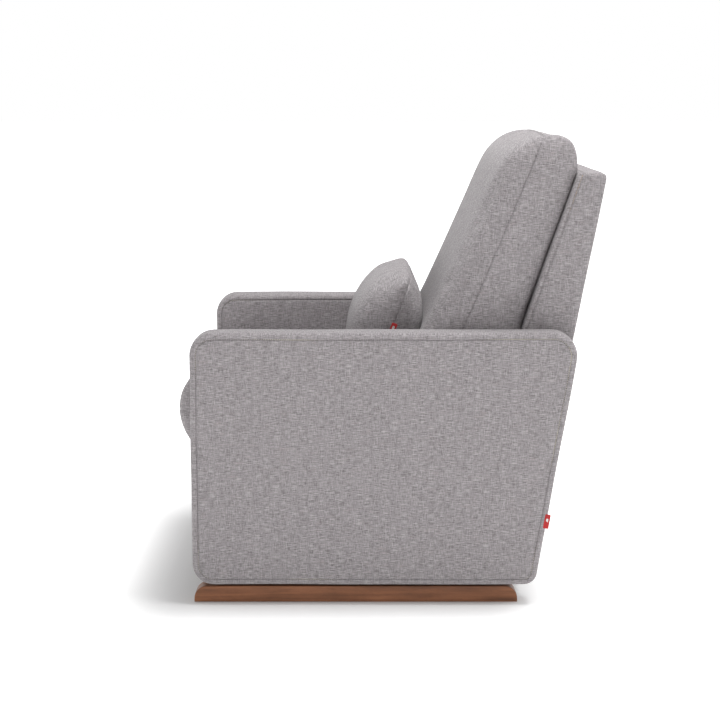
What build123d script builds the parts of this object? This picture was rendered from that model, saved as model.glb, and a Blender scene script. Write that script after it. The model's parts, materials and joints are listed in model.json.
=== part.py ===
from build123d import *
import os
from math import cos, hypot, radians, sin, tan

# Glider nursery chair, in millimetres. +Z is up, the chair faces -Y and +X is the sitter's left.
# Pieces are laid out with Y = 0 at the nose of the seat cushion and moved at the end, so that the
# origin lies on the floor under the middle of the whole chair.

# ---- overall sizes ----
overall_width = 790
arm_thickness = 78
arm_top = 606
arm_depth_top = 850
arm_depth_bottom = 755
arm_front = 35
back_top = 946
cushion_top = 1031

# ---- shared by many cuts ----
overshoot = 1
least_radius = 2

# ---- base rails and cross tubes ----
floor_pad_thickness = 2
floor_pad_radius = 14
floor_pads_per_rail = 3
floor_pad_end_distance = 60
rail_height = 38
rail_width = 43
rail_length = 716
rail_setback = 2
rail_inset = 20
rail_end_radius = 28
rail_foot_radius = 1
rail_edge_radius = 1.5
rail_to_arm_gap = 7
tube_width = 45
tube_height = 22
tube_wall = 2
tube_floor_gap = 10
flange_thickness = 4
flange_width = 74
flange_height = 30
rail_screw_radius = 2.5
rail_screw_length = 30
rail_screw_head_radius = 4.5
rail_screw_head_height = 3
rail_screw_edge = 7

# ---- glide mechanism ----
link_length = 150
link_width = 32
link_thickness = 5
glide_angle = 25
front_pivot_y = 229
pivot_spacing = 260
lower_pivot_z = 105
bearing_outer_radius = 11
bearing_bore_radius = 4
bearing_width = 7
bearing_groove_inner = 6
bearing_groove_outer = 9
bearing_groove_depth = 0.5
running_clearance = 0.05
side_clearance = 0.2
boss_radius = 6.5
shoulder_head_radius = 7
shoulder_head_height = 4
thread_radius = 3
thread_past_nut = 1
nut_across_flats = 10
nut_height = 6
upright_sheet = 3
upright_head_room = 22
upright_foot_width = 44
upright_foot_length = 34
upright_waist_height = 150
stop_flange_length = 36
stop_flange_margin = 1
bumper_drop = 55
bumper_radius = 6
bumper_height = 4
bumper_clearance = 0.5
upright_bolt_spacing = 22
upright_bolt_radius = 3
upright_bolt_length = 14
upright_bolt_head_radius = 5
upright_bolt_head_height = 3.5
head_to_web_gap = 5.8
hanger_sheet = 4
hanger_height = 54
hanger_overrun = 55
hanger_corner_radius = 13
hanger_bolt_radius = 3
hanger_bolt_depth = 15
hanger_bolt_head_radius = 6.5
hanger_bolt_head_height = 5
pocket_clearance = 2

# ---- seat box ----
board_thickness = 18
board_bottom = 58
board_top = 300
front_board_setback = 12
seat_box_depth = 578
link_to_board_gap = 12
arm_to_board_gap = 2
corner_block_leg = 30
corner_block_height = 55
spring_count = 5
spring_spacing = 110
spring_wire_radius = 1.9
spring_pitch = 24
spring_bar = 30
clip_length = 20
clip_width = 12
clip_height = 8
clip_clearance = 0.1
deck_cloth_thickness = 1.5
deck_gap = 0.4
apron_thickness = 5
apron_edge_radius = 3
apron_overhang = 2
apron_gap = 0.3
apron_side_gap = 3

# ---- arms ----
arm_corner_bottom_front = 47
arm_corner_bottom_rear = 28
arm_corner_top_rear = 52
arm_corner_top_front = 50
arm_edge_radius = 12
cover_thickness = 2
fit_gap = 0.3
arm_padding_thickness = 10
inner_panel_thickness = 12
outer_panel_thickness = 5
panel_edge_radius = 1.5
strip_width = 40
strip_gap = 0.5
arm_bolt_end_distance = 72
arm_bolt_drop = 70
arm_bolt_middle_drop = 45
arm_bolt_radius = 4
arm_bolt_head_radius = 7
arm_bolt_head_height = 5
bolt_hole_clearance = 0.25
tee_nut_height = 8
tee_nut_radius = 9
post_bolt_depth = 24
post_bolt_setback = 55
post_bolt_heights = (190, 470)
tab_length = 32
tab_width = 12
tab_thickness = 1.3
tab_proud = 5
tab_height = 174
tab_skin_depth = 0.1

# ---- back ----
back_knee_height = 320
back_front_lean = 18.9
back_rear_lean = 10.6
back_top_thickness = 63.5
back_to_board_gap = 4
back_bottom_gap = 4
back_side_gap = 4
back_corner_rear = 11
back_corner_front = 6
back_corner_low = 4
back_edge_radius = 5
back_lining = 6
post_thickness = 30
post_side_gap = 2
back_rail_height = 55
back_rail_gap = 4
webbing_count = 5
webbing_width = 50
webbing_thickness = 1.6
webbing_first = 380
webbing_pitch = 105

# ---- cushions ----
soft_gap = 0.6
soft_side_gap = 4
seat_cushion_top = 527
seat_nose_radius = 200
seat_nose_height = 418
seat_edge_radius = 40
seat_rear_radius = 20
seat_side_radius = 22
back_cushion_thickness = 224
back_cushion_lean = 22.8
back_cushion_top_fall = 16
back_cushion_gap = 2.5
back_cushion_front_radius = 120
back_cushion_rear_radius = 55
back_cushion_bottom_radius = 18
back_cushion_side_radius = 16
pillow_width = 500
pillow_thickness = 148
pillow_height = 300
pillow_rise = 27
pillow_tab_length = 22
pillow_tab_width = 13
pillow_tab_rise = 53
pillow_tab_away = 56
pillow_tab_gap = 0.1

# ---- places worked out from the sizes above ----
arm_outer_x = overall_width / 2
arm_inner_x = arm_outer_x - arm_thickness
arm_bottom = rail_height + rail_to_arm_gap
arm_outline = [
    (arm_front, arm_bottom),
    (arm_front + arm_depth_bottom, arm_bottom),
    (arm_front + arm_depth_top, arm_top),
    (arm_front, arm_top),
]
arm_radii = [
    arm_corner_bottom_front,
    arm_corner_bottom_rear,
    arm_corner_top_rear,
    arm_corner_top_front,
]

rail_outer_x = arm_outer_x - rail_inset
rail_inner_x = rail_outer_x - rail_width
rail_front = arm_front + rail_setback

board_outer_x = arm_inner_x - arm_to_board_gap
board_inner_x = board_outer_x - board_thickness
front_board_y = arm_front + front_board_setback
side_board_y = front_board_y + board_thickness
rear_board_y = side_board_y + seat_box_depth
back_foot_y = rear_board_y + board_thickness + back_to_board_gap

upper_pivot_z = lower_pivot_z + link_length
pivot_ys = [front_pivot_y, front_pivot_y + pivot_spacing]
hanger_x = board_inner_x - hanger_sheet
link_outer_x = board_inner_x - link_to_board_gap
link_x = link_outer_x - link_thickness
bearing_x = link_x - (bearing_width - link_thickness) / 2
bearing_end_x = bearing_x + bearing_width
shoulder_radius = bearing_bore_radius - running_clearance
shoulder_start = bearing_x - side_clearance
shoulder_end = bearing_end_x + side_clearance
web_outer_x = shoulder_start - shoulder_head_height - head_to_web_gap
web_x = web_outer_x - upright_sheet
link_middle_x = link_x + link_thickness / 2
stop_flange_x = link_middle_x + bumper_radius + stop_flange_margin
tube_top = tube_floor_gap + tube_height

deck_bottom = board_top + clip_height + deck_gap
seat_cushion_bottom = deck_bottom + deck_cloth_thickness + soft_gap
soft_half_width = arm_inner_x - soft_side_gap


def back_front_y(z):
    """Front face of the upholstered back at height z."""
    return back_foot_y + max(0, z - back_knee_height) * tan(radians(back_front_lean))


back_rear_top_y = back_front_y(back_top) + back_top_thickness


def back_rear_y(z):
    """Rear face of the upholstered back at height z."""
    return back_rear_top_y - (back_top - z) * tan(radians(back_rear_lean))


# ---- shape helpers ----
def block(x_range, y_range, z_range):
    """A box between three pairs of limits."""
    size = [high - low for low, high in (x_range, y_range, z_range)]
    middle = [(high + low) / 2 for low, high in (x_range, y_range, z_range)]
    return Pos(*middle) * Box(*size)


def pin(x_start, x_end, y, z, radius):
    """A round bar along X."""
    return Pos((x_start + x_end) / 2, y, z) * Rot(0, 90, 0) * Cylinder(radius, abs(x_end - x_start))


def post(x, y, z_start, z_end, radius):
    """A round bar along Z."""
    return Pos(x, y, (z_start + z_end) / 2) * Cylinder(radius, abs(z_end - z_start))


def hexagon(x_start, x_end, y, z, across_flats):
    """A hexagonal nut or head along X."""
    outline = RegularPolygon(across_flats / 2, 6, major_radius=False)
    return extrude(Plane.YZ.offset(x_start) * Pos(y, z) * outline, x_end - x_start)


def rounded(points, radii):
    """A polygon in the side plane with one radius for each corner."""
    face = Sketch() + make_face(Polyline(*points, close=True))
    for point, radius in zip(points, radii):
        corner = face.vertices().sort_by_distance(Vector(*point))[0]
        face = fillet(corner, radius)
    return face


def inset(points, distance):
    """Corners of a counter-clockwise polygon whose edges all move inwards."""
    moved = []
    count = len(points)
    for i in range(count):
        before, here, after = points[i - 1], points[i], points[(i + 1) % count]
        a = ((here[0] - before[0]), (here[1] - before[1]))
        b = ((after[0] - here[0]), (after[1] - here[1]))
        normal_a = (-a[1] / hypot(*a), a[0] / hypot(*a))
        normal_b = (-b[1] / hypot(*b), b[0] / hypot(*b))
        spread = 1 + normal_a[0] * normal_b[0] + normal_a[1] * normal_b[1]
        moved.append(
            (
                here[0] + distance * (normal_a[0] + normal_b[0]) / spread,
                here[1] + distance * (normal_a[1] + normal_b[1]) / spread,
            )
        )
    return moved


def slab(outline, x_start, x_end, edge_radius=0):
    """A side-plane outline given width along X, with its two rims rounded."""
    solid = extrude(Plane.YZ.offset(x_start) * outline, x_end - x_start)
    if edge_radius:
        ends = solid.faces().sort_by(Axis.X)
        solid = fillet(ends[0].edges() + ends[-1].edges(), edge_radius)
    return solid


def other_side(solid):
    """The same piece on the sitter's right."""
    return mirror(solid, Plane.YZ)


def both_sides(pieces):
    """Pieces on the sitter's left and their mirror copies."""
    return pieces + [other_side(piece) for piece in pieces]


def drilled(solid, cutters):
    """A solid with other shapes cut from it."""
    for cutter in cutters:
        solid = solid - cutter
    return solid


# ---- base ----
rail_screw_z = tube_floor_gap + tube_height / 2
rail_screw_offset = flange_width / 2 - rail_screw_edge


def rail_screw_places():
    return [(y + side * rail_screw_offset) for y in pivot_ys for side in (-1, 1)]


def rail_screw(y):
    """Pan head screw through an end flange into the rail."""
    seat = rail_inner_x - flange_thickness
    head = pin(seat - rail_screw_head_height, seat, y, rail_screw_z, rail_screw_head_radius)
    shank = pin(seat, seat + rail_screw_length, y, rail_screw_z, rail_screw_radius)
    return head + shank


def base_rail():
    """A long low floor rail with quarter-round top corners."""
    bottom = floor_pad_thickness
    end = rail_front + rail_length
    points = [(rail_front, bottom), (end, bottom), (end, rail_height), (rail_front, rail_height)]
    outline = rounded(points, [rail_foot_radius, rail_foot_radius, rail_end_radius, rail_end_radius])
    rail = slab(outline, rail_inner_x, rail_outer_x, rail_edge_radius)
    pilot_end = rail_inner_x - flange_thickness + rail_screw_length
    pilots = [
        pin(rail_inner_x - overshoot, pilot_end, y, rail_screw_z, rail_screw_radius)
        for y in rail_screw_places()
    ]
    return drilled(rail, pilots)


def floor_pads():
    """Round glides under both rails."""
    x = (rail_inner_x + rail_outer_x) / 2
    first = rail_front + floor_pad_end_distance
    last = rail_front + rail_length - floor_pad_end_distance
    step = (last - first) / (floor_pads_per_rail - 1)
    pads = [
        post(x, first + i * step, 0, floor_pad_thickness, floor_pad_radius)
        for i in range(floor_pads_per_rail)
    ]
    return both_sides(pads)


def cross_tube(y):
    """A hollow steel tube from rail to rail with a welded flange at each end."""
    reach = rail_inner_x - flange_thickness
    y_range = (y - tube_width / 2, y + tube_width / 2)
    z_range = (tube_floor_gap, tube_top)
    tube = block((-reach, reach), y_range, z_range)
    inside_y = (y_range[0] + tube_wall, y_range[1] - tube_wall)
    inside_z = (z_range[0] + tube_wall, z_range[1] - tube_wall)
    tube = tube - block((-reach, reach), inside_y, inside_z)
    flange = block(
        (reach, rail_inner_x),
        (y - flange_width / 2, y + flange_width / 2),
        (rail_screw_z - flange_height / 2, rail_screw_z + flange_height / 2),
    )
    hole_range = (reach - overshoot, rail_inner_x + overshoot)
    holes = [
        pin(*hole_range, y + side * rail_screw_offset, rail_screw_z, rail_screw_radius)
        for side in (-1, 1)
    ]
    flange = drilled(flange, holes)
    bolt_holes = [
        post(x, bolt_y, tube_top - tube_wall - overshoot, tube_top + overshoot, upright_bolt_radius)
        for x in (upright_bolt_x(), -upright_bolt_x())
        for bolt_y in upright_bolt_ys(y)
    ]
    return drilled(tube + flange + other_side(flange), bolt_holes)


# ---- pivot uprights ----
stop_face = link_width / 2 + bumper_clearance
stop_flange_face = stop_face + bumper_height
stop_flange_back = stop_flange_face + upright_sheet
stop_flange_low = bumper_drop + stop_flange_length / 2
stop_flange_high = bumper_drop - stop_flange_length / 2


def upright_bolt_x():
    return web_x - upright_foot_length / 2


def upright_bolt_ys(y):
    return [y - upright_bolt_spacing / 2, y + upright_bolt_spacing / 2]


def at_stop(shape, y, side):
    """A shape laid out about a hanging link's upper pivot, turned to one end of the glide."""
    return Pos(0, y, upper_pivot_z) * Rot(side * glide_angle, 0, 0) * shape


def pivot_upright(y):
    """Folded sheet upright: foot on the cross tube, web, two sloping stop flanges and a pivot boss."""
    limit = radians(glide_angle)
    foot_half = upright_foot_width / 2
    widest = stop_flange_low * sin(limit) + stop_flange_back * cos(limit)
    widest_z = upper_pivot_z - stop_flange_low * cos(limit) + stop_flange_back * sin(limit)
    top = upper_pivot_z + upright_head_room
    top_half = (stop_flange_back - upright_head_room * sin(limit)) / cos(limit)
    half_outline = [
        (foot_half, tube_top),
        (foot_half, upright_waist_height),
        (widest, widest_z),
        (top_half, top),
    ]
    outline = [(y + half, z) for half, z in half_outline] + [(y - half, z) for half, z in half_outline[::-1]]
    upright = slab(make_face(Polyline(*outline, close=True)), web_x, web_outer_x)
    upright += block(
        (web_x - upright_foot_length, web_outer_x),
        (y - foot_half, y + foot_half),
        (tube_top, tube_top + upright_sheet),
    )
    for side in (-1, 1):
        flange = block(
            (web_x, stop_flange_x),
            sorted((side * stop_flange_face, side * stop_flange_back)),
            (-stop_flange_low, -stop_flange_high),
        )
        upright += at_stop(flange, y, side)
    upright += pin(web_outer_x, shoulder_start, y, upper_pivot_z, boss_radius)
    bores = [pin(web_x - overshoot, bearing_x, y, upper_pivot_z, thread_radius)]
    for bolt_y in upright_bolt_ys(y):
        bores.append(
            post(
                upright_bolt_x(),
                bolt_y,
                tube_top - overshoot,
                tube_top + upright_sheet + overshoot,
                upright_bolt_radius,
            )
        )
    return drilled(upright, bores)


def upright_bolts():
    """Short bolts that hold the uprights' feet to the cross tubes."""
    seat = tube_top + upright_sheet
    x = upright_bolt_x()
    bolts = []
    for y in pivot_ys:
        for bolt_y in upright_bolt_ys(y):
            head = post(x, bolt_y, seat, seat + upright_bolt_head_height, upright_bolt_head_radius)
            shank = post(x, bolt_y, seat - upright_bolt_length, seat, upright_bolt_radius)
            bolts.append(head + shank)
    return both_sides(bolts)


def link_stop_bumpers():
    """Rubber buttons on the stop flanges that the links meet just past the end of the glide."""
    bumpers = []
    for y in pivot_ys:
        for side in (-1, 1):
            middle = side * (stop_face + bumper_height / 2)
            button = Rot(90, 0, 0) * Cylinder(bumper_radius, bumper_height)
            bumpers.append(at_stop(Pos(link_middle_x, middle, -bumper_drop) * button, y, side))
    return both_sides(bumpers)


def upper_pivot_bolts():
    """Shoulder bolts from the outer side, through the links' upper bearings."""
    z = upper_pivot_z
    bolts = []
    for y in pivot_ys:
        shoulder = pin(shoulder_start, shoulder_end, y, z, shoulder_radius)
        head = pin(shoulder_end, shoulder_end + shoulder_head_height, y, z, shoulder_head_radius)
        thread = pin(web_x - nut_height - thread_past_nut, shoulder_start, y, z, thread_radius)
        bolts.append(shoulder + head + thread)
    return both_sides(bolts)


def upper_pivot_nuts():
    """Nuts on the inner side of the uprights."""
    nuts = []
    for y in pivot_ys:
        nut = hexagon(web_x - nut_height, web_x, y, upper_pivot_z, nut_across_flats)
        hole = pin(web_x - nut_height - overshoot, web_x + overshoot, y, upper_pivot_z, thread_radius)
        nuts.append(nut - hole)
    return both_sides(nuts)


# ---- swing links ----
def swing_link(y):
    """A flat steel bar with a bearing seat at each end."""
    bar = Rot(0, 0, 90) * SlotCenterToCenter(link_length, link_width)
    link = slab(Pos(y, (lower_pivot_z + upper_pivot_z) / 2) * bar, link_x, link_outer_x)
    seats = [
        pin(link_x - overshoot, link_outer_x + overshoot, y, z, bearing_outer_radius)
        for z in (lower_pivot_z, upper_pivot_z)
    ]
    return drilled(link, seats)


def link_bearings(y):
    """Ball bearings pressed into both ends of a pair of links."""
    bearings = []
    for z in (lower_pivot_z, upper_pivot_z):
        ring = pin(bearing_x, bearing_end_x, y, z, bearing_outer_radius)
        ring = ring - pin(bearing_x - overshoot, bearing_end_x + overshoot, y, z, bearing_bore_radius)
        for start, end in (
            (bearing_x - overshoot, bearing_x + bearing_groove_depth),
            (bearing_end_x - bearing_groove_depth, bearing_end_x + overshoot),
        ):
            groove = pin(start, end, y, z, bearing_groove_outer) - pin(start, end, y, z, bearing_groove_inner)
            ring = ring - groove
        bearings.append(ring)
    return both_sides(bearings)


# ---- hangers ----
hanger_range = (pivot_ys[0] - hanger_overrun, pivot_ys[1] + hanger_overrun)
hanger_bolt_ys = [
    hanger_range[0] + hanger_overrun / 2,
    (pivot_ys[0] + pivot_ys[1]) / 2,
    hanger_range[1] - hanger_overrun / 2,
]


def hanger_rail():
    """Flat steel rail on the seat box side that carries the two lower pivots."""
    z_range = (lower_pivot_z - hanger_height / 2, lower_pivot_z + hanger_height / 2)
    rail = block((hanger_x, board_inner_x), hanger_range, z_range)
    rail = fillet(rail.edges().filter_by(Axis.X), hanger_corner_radius)
    x_end = board_inner_x + overshoot
    holes = [pin(hanger_x - overshoot, x_end, y, lower_pivot_z, hanger_bolt_radius) for y in hanger_bolt_ys]
    for y in pivot_ys:
        rail += pin(shoulder_end, hanger_x, y, lower_pivot_z, boss_radius)
        holes.append(pin(bearing_end_x, x_end, y, lower_pivot_z, thread_radius))
    return drilled(rail, holes)


def hanger_bolts():
    """Lag bolts that hold the hanger rails to the seat box sides."""
    bolts = []
    for y in hanger_bolt_ys:
        head = pin(hanger_x - hanger_bolt_head_height, hanger_x, y, lower_pivot_z, hanger_bolt_head_radius)
        shank = pin(hanger_x, board_inner_x + hanger_bolt_depth, y, lower_pivot_z, hanger_bolt_radius)
        bolts.append(head + shank)
    return both_sides(bolts)


def lower_pivot_bolts():
    """Shoulder bolts from the inner side, through the links' lower bearings."""
    z = lower_pivot_z
    thread_end = board_inner_x + nut_height + thread_past_nut
    bolts = []
    for y in pivot_ys:
        shoulder = pin(shoulder_start, shoulder_end, y, z, shoulder_radius)
        head = pin(shoulder_start - shoulder_head_height, shoulder_start, y, z, shoulder_head_radius)
        thread = pin(shoulder_end, thread_end, y, z, thread_radius)
        bolts.append(shoulder + head + thread)
    return both_sides(bolts)


def lower_pivot_nuts():
    """Nuts behind the hanger rails, in pockets of the side boards."""
    start, end = board_inner_x, board_inner_x + nut_height
    nuts = []
    for y in pivot_ys:
        nut = hexagon(start, end, y, lower_pivot_z, nut_across_flats)
        nuts.append(nut - pin(start - overshoot, end + overshoot, y, lower_pivot_z, thread_radius))
    return both_sides(nuts)


# ---- seat box ----
arm_bolt_places = [
    (side_board_y + arm_bolt_end_distance, board_top - arm_bolt_drop),
    (side_board_y + seat_box_depth / 2, board_top - arm_bolt_middle_drop),
    (rear_board_y - arm_bolt_end_distance, board_top - arm_bolt_drop),
]
post_bolt_places = [(back_front_y(z) + post_bolt_setback, z) for z in post_bolt_heights]


def side_board():
    """Side of the seat box, with pockets for the lower nuts and holes for the arm bolts."""
    board = block(
        (board_inner_x, board_outer_x),
        (side_board_y, rear_board_y),
        (board_bottom, board_top),
    )
    start = board_inner_x - overshoot
    cuts = [
        pin(
            start,
            board_inner_x + nut_height + pocket_clearance,
            y,
            lower_pivot_z,
            nut_across_flats / 2 + pocket_clearance,
        )
        for y in pivot_ys
    ]
    for y in hanger_bolt_ys:
        cuts.append(pin(start, board_inner_x + hanger_bolt_depth, y, lower_pivot_z, hanger_bolt_radius))
    for y, z in arm_bolt_places:
        cuts.append(pin(start, board_outer_x + overshoot, y, z, arm_bolt_radius + bolt_hole_clearance))
    return drilled(board, cuts)


def end_board(y):
    """Front or rear board of the seat box."""
    return block((-board_outer_x, board_outer_x), (y, y + board_thickness), (board_bottom, board_top))


def corner_blocks():
    """Triangular blocks glued into the four corners of the seat box."""
    leg = corner_block_leg
    bottom = Pos(0, 0, board_top - corner_block_height)
    blocks = []
    for y, way in ((side_board_y, 1), (rear_board_y, -1)):
        outline = Polyline(
            (board_inner_x, y), (board_inner_x - leg, y), (board_inner_x, y + way * leg), close=True
        )
        blocks.append(extrude(bottom * make_face(outline), corner_block_height, dir=(0, 0, 1)))
    return both_sides(blocks)


spring_z = board_top + clip_height / 2
spring_start_y = front_board_y + board_thickness / 2
spring_end_y = rear_board_y + board_thickness / 2
spring_xs = [(i - (spring_count - 1) / 2) * spring_spacing for i in range(spring_count)]


def zigzag_spring(x):
    """A flat wire spring: cross bars joined by half-round turns."""
    length = spring_end_y - spring_start_y
    bars = round(length / spring_pitch) + 1
    pitch = length / (bars - 1)
    half = spring_bar / 2
    edges = []
    side = 1
    for i in range(bars):
        y = spring_start_y + i * pitch
        edges.append(Line((x - side * half, y, spring_z), (x + side * half, y, spring_z)))
        if i < bars - 1:
            turn = (x + side * (half + pitch / 2), y + pitch / 2, spring_z)
            ends = (x + side * half, y, spring_z), (x + side * half, y + pitch, spring_z)
            edges.append(ThreePointArc(ends[0], turn, ends[1]))
        side = -side
    path = Wire(edges)
    section = Plane(origin=path @ 0, z_dir=path % 0) * Circle(spring_wire_radius)
    return sweep(section, path)


def spring_clips():
    """Clips on the front and rear boards that hold the end bar of each spring."""
    clips = []
    for x in spring_xs:
        for y in (spring_start_y, spring_end_y):
            clip = block(
                (x - clip_length / 2, x + clip_length / 2),
                (y - clip_width / 2, y + clip_width / 2),
                (board_top, board_top + clip_height),
            )
            bar = pin(x - clip_length, x + clip_length, y, spring_z, spring_wire_radius + clip_clearance)
            clips.append(clip - bar)
    return clips


def deck_cloth():
    """Cloth over the springs, under the seat cushion."""
    return block(
        (-board_inner_x, board_inner_x),
        (front_board_y, rear_board_y + board_thickness),
        (deck_bottom, deck_bottom + deck_cloth_thickness),
    )


def front_apron():
    """Upholstered panel on the face of the front board."""
    reach = arm_inner_x - apron_side_gap
    front = front_board_y - apron_gap - apron_thickness
    z_range = (board_bottom - apron_overhang, board_top)
    panel = block((-reach, reach), (front, front_board_y - apron_gap), z_range)
    return fillet(panel.faces().sort_by(Axis.Y)[0].edges(), apron_edge_radius)


# ---- arms ----
def arm_layer(depth, edge_radius):
    """The arm's full shape, shrunk by a depth on every side."""
    radii = [max(radius - depth, least_radius) for radius in arm_radii]
    outline = rounded(inset(arm_outline, depth), radii)
    return slab(outline, arm_inner_x + depth, arm_outer_x - depth, edge_radius)


frame_depth = cover_thickness + arm_padding_thickness
panel_outline = inset(arm_outline, frame_depth)
panel_radii = [max(radius - frame_depth, least_radius) for radius in arm_radii]
panel_inner_x = arm_inner_x + frame_depth
strip_inner_x = panel_inner_x + inner_panel_thickness
strip_outer_x = arm_outer_x - frame_depth - outer_panel_thickness


def arm_bolt_holes(x_start, x_end):
    """Clearance holes through an arm for the bolts to the seat box and to the back posts."""
    radius = arm_bolt_radius + bolt_hole_clearance
    return [pin(x_start, x_end, y, z, radius) for y, z in arm_bolt_places + post_bolt_places]


def arm_cover():
    """Fabric skin of an arm."""
    skin = arm_layer(0, arm_edge_radius) - arm_layer(cover_thickness, arm_edge_radius - cover_thickness)
    return drilled(skin, arm_bolt_holes(arm_inner_x - overshoot, panel_inner_x))


def arm_padding():
    """Foam and wadding between the skin and the wooden frame."""
    outside = cover_thickness + fit_gap
    inside = frame_depth - fit_gap
    foam = arm_layer(outside, arm_edge_radius - outside) - arm_layer(inside, panel_edge_radius)
    return drilled(foam, arm_bolt_holes(arm_inner_x, panel_inner_x + overshoot))


def arm_inner_panel():
    """Plywood panel on the seat side of an arm."""
    panel = slab(rounded(panel_outline, panel_radii), panel_inner_x, strip_inner_x)
    shape = arm_layer(frame_depth, panel_edge_radius)
    return drilled(panel & shape, arm_bolt_holes(panel_inner_x - overshoot, strip_inner_x + overshoot))


def arm_outer_panel():
    """Hardboard panel on the outer side of an arm."""
    panel = slab(rounded(panel_outline, panel_radii), strip_outer_x, arm_outer_x - frame_depth)
    return panel & arm_layer(frame_depth, panel_edge_radius)


def arm_strips():
    """Four wooden strips between the panels: top, bottom, front and rear."""
    ring = slab(rounded(panel_outline, panel_radii), strip_inner_x, strip_outer_x)
    hollow = make_face(Polyline(*inset(panel_outline, strip_width), close=True))
    ring = ring - slab(hollow, strip_inner_x, strip_outer_x)
    x_range = (strip_inner_x, strip_outer_x)
    y_low, y_high = arm_front, arm_front + arm_depth_top
    z_low, z_high = arm_bottom + frame_depth + strip_width, arm_top - frame_depth - strip_width
    y_split = (y_low + arm_front + arm_depth_bottom) / 2
    zones = [
        block(x_range, (y_low, y_high), (z_high, arm_top)),
        block(x_range, (y_low, y_high), (arm_bottom, z_low)),
        block(x_range, (y_low, y_split), (z_low + strip_gap, z_high - strip_gap)),
        block(x_range, (y_split, y_high), (z_low + strip_gap, z_high - strip_gap)),
    ]
    return [ring & zone for zone in zones]


def arm_bolts():
    """Bolts from the seat box into tee nuts in the arms, and from the arms into the back posts."""
    pieces = []
    for y, z in arm_bolt_places:
        head = pin(board_inner_x - arm_bolt_head_height, board_inner_x, y, z, arm_bolt_head_radius)
        shank = pin(board_inner_x, strip_inner_x + tee_nut_height, y, z, arm_bolt_radius)
        nut = pin(strip_inner_x, strip_inner_x + tee_nut_height, y, z, tee_nut_radius)
        pieces += [head + shank, nut - pin(strip_inner_x - overshoot, strip_outer_x, y, z, arm_bolt_radius)]
    for y, z in post_bolt_places:
        head = pin(strip_inner_x, strip_inner_x + arm_bolt_head_height, y, z, arm_bolt_head_radius)
        shank = pin(post_outer_x - post_bolt_depth, strip_inner_x, y, z, arm_bolt_radius)
        pieces.append(head + shank)
    return both_sides(pieces)


def arm_tab():
    """Folded fabric tab sewn into the outer rear seam of the left arm."""
    bottom, top = arm_outline[1], arm_outline[2]
    slope = (top[0] - bottom[0]) / (top[1] - bottom[1])
    lean = Vector(slope, 1).normalized()
    across = Vector(1, -slope).normalized()
    foot = Vector(bottom[0] + slope * (tab_height - arm_bottom), tab_height)
    rear = foot + across * tab_proud
    front = foot - across * (tab_width - tab_proud)
    corners = [front, rear, rear + lean * tab_length, front + lean * tab_length]
    outline = make_face(Polyline(*[(corner.X, corner.Y) for corner in corners], close=True))
    outer = arm_outer_x - tab_skin_depth
    return slab(outline, outer - tab_thickness, outer)


# ---- back ----
post_outer_x = arm_inner_x - back_side_gap - cover_thickness - post_side_gap
post_inner_x = post_outer_x - post_thickness
back_bottom = arm_bottom + back_bottom_gap


def back_outline():
    """Corners of the wedge-shaped back, seen from the side."""
    return [
        (back_foot_y, back_bottom),
        (back_rear_y(back_bottom), back_bottom),
        (back_rear_top_y, back_top),
        (back_front_y(back_top), back_top),
        (back_foot_y, back_knee_height),
    ]


back_radii = [back_corner_low, back_corner_low, back_corner_rear, back_corner_front, back_corner_rear]


def back_layer(depth, edge_radius):
    """The back's full shape, shrunk by a depth on every side."""
    radii = [max(radius - depth, least_radius) for radius in back_radii]
    reach = arm_inner_x - back_side_gap - depth
    return slab(rounded(inset(back_outline(), depth), radii), -reach, reach, edge_radius)


def outer_back_cover():
    """Fabric skin of the back."""
    skin = back_layer(0, back_edge_radius) - back_layer(cover_thickness, back_edge_radius - cover_thickness)
    radius = arm_bolt_radius + bolt_hole_clearance
    holes = [pin(post_outer_x, arm_inner_x, y, z, radius) for y, z in post_bolt_places]
    return drilled(skin, both_sides(holes))


def back_band(x_range, z_low, z_high):
    """A piece of the wooden back frame between two heights, inside the lining."""
    lined = make_face(Polyline(*inset(back_outline(), back_lining), close=True))
    full = slab(lined, *x_range)
    y_range = (back_foot_y, back_rear_top_y)
    return full & block(x_range, y_range, (z_low, z_high))


def back_post():
    """Upright board at the side of the back frame."""
    board = back_band((post_inner_x, post_outer_x), back_bottom, back_top)
    x_range = (post_outer_x - post_bolt_depth, post_outer_x + overshoot)
    pilots = [pin(*x_range, y, z, arm_bolt_radius) for y, z in post_bolt_places]
    return drilled(board, pilots)


def back_rail(z_low):
    """Cross board between the two back posts."""
    return back_band((-post_inner_x, post_inner_x), z_low, z_low + back_rail_height)


def back_webbing():
    """Elastic straps across the front of the back posts."""
    straps = []
    near = back_lining - webbing_thickness - cover_thickness / 2
    for i in range(webbing_count):
        low = webbing_first + i * webbing_pitch
        high = low + webbing_width
        outline = [
            (back_front_y(low) + near, low),
            (back_front_y(low) + near + webbing_thickness, low),
            (back_front_y(high) + near + webbing_thickness, high),
            (back_front_y(high) + near, high),
        ]
        straps.append(slab(make_face(Polyline(*outline, close=True)), -post_outer_x, post_outer_x))
    return straps


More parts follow.
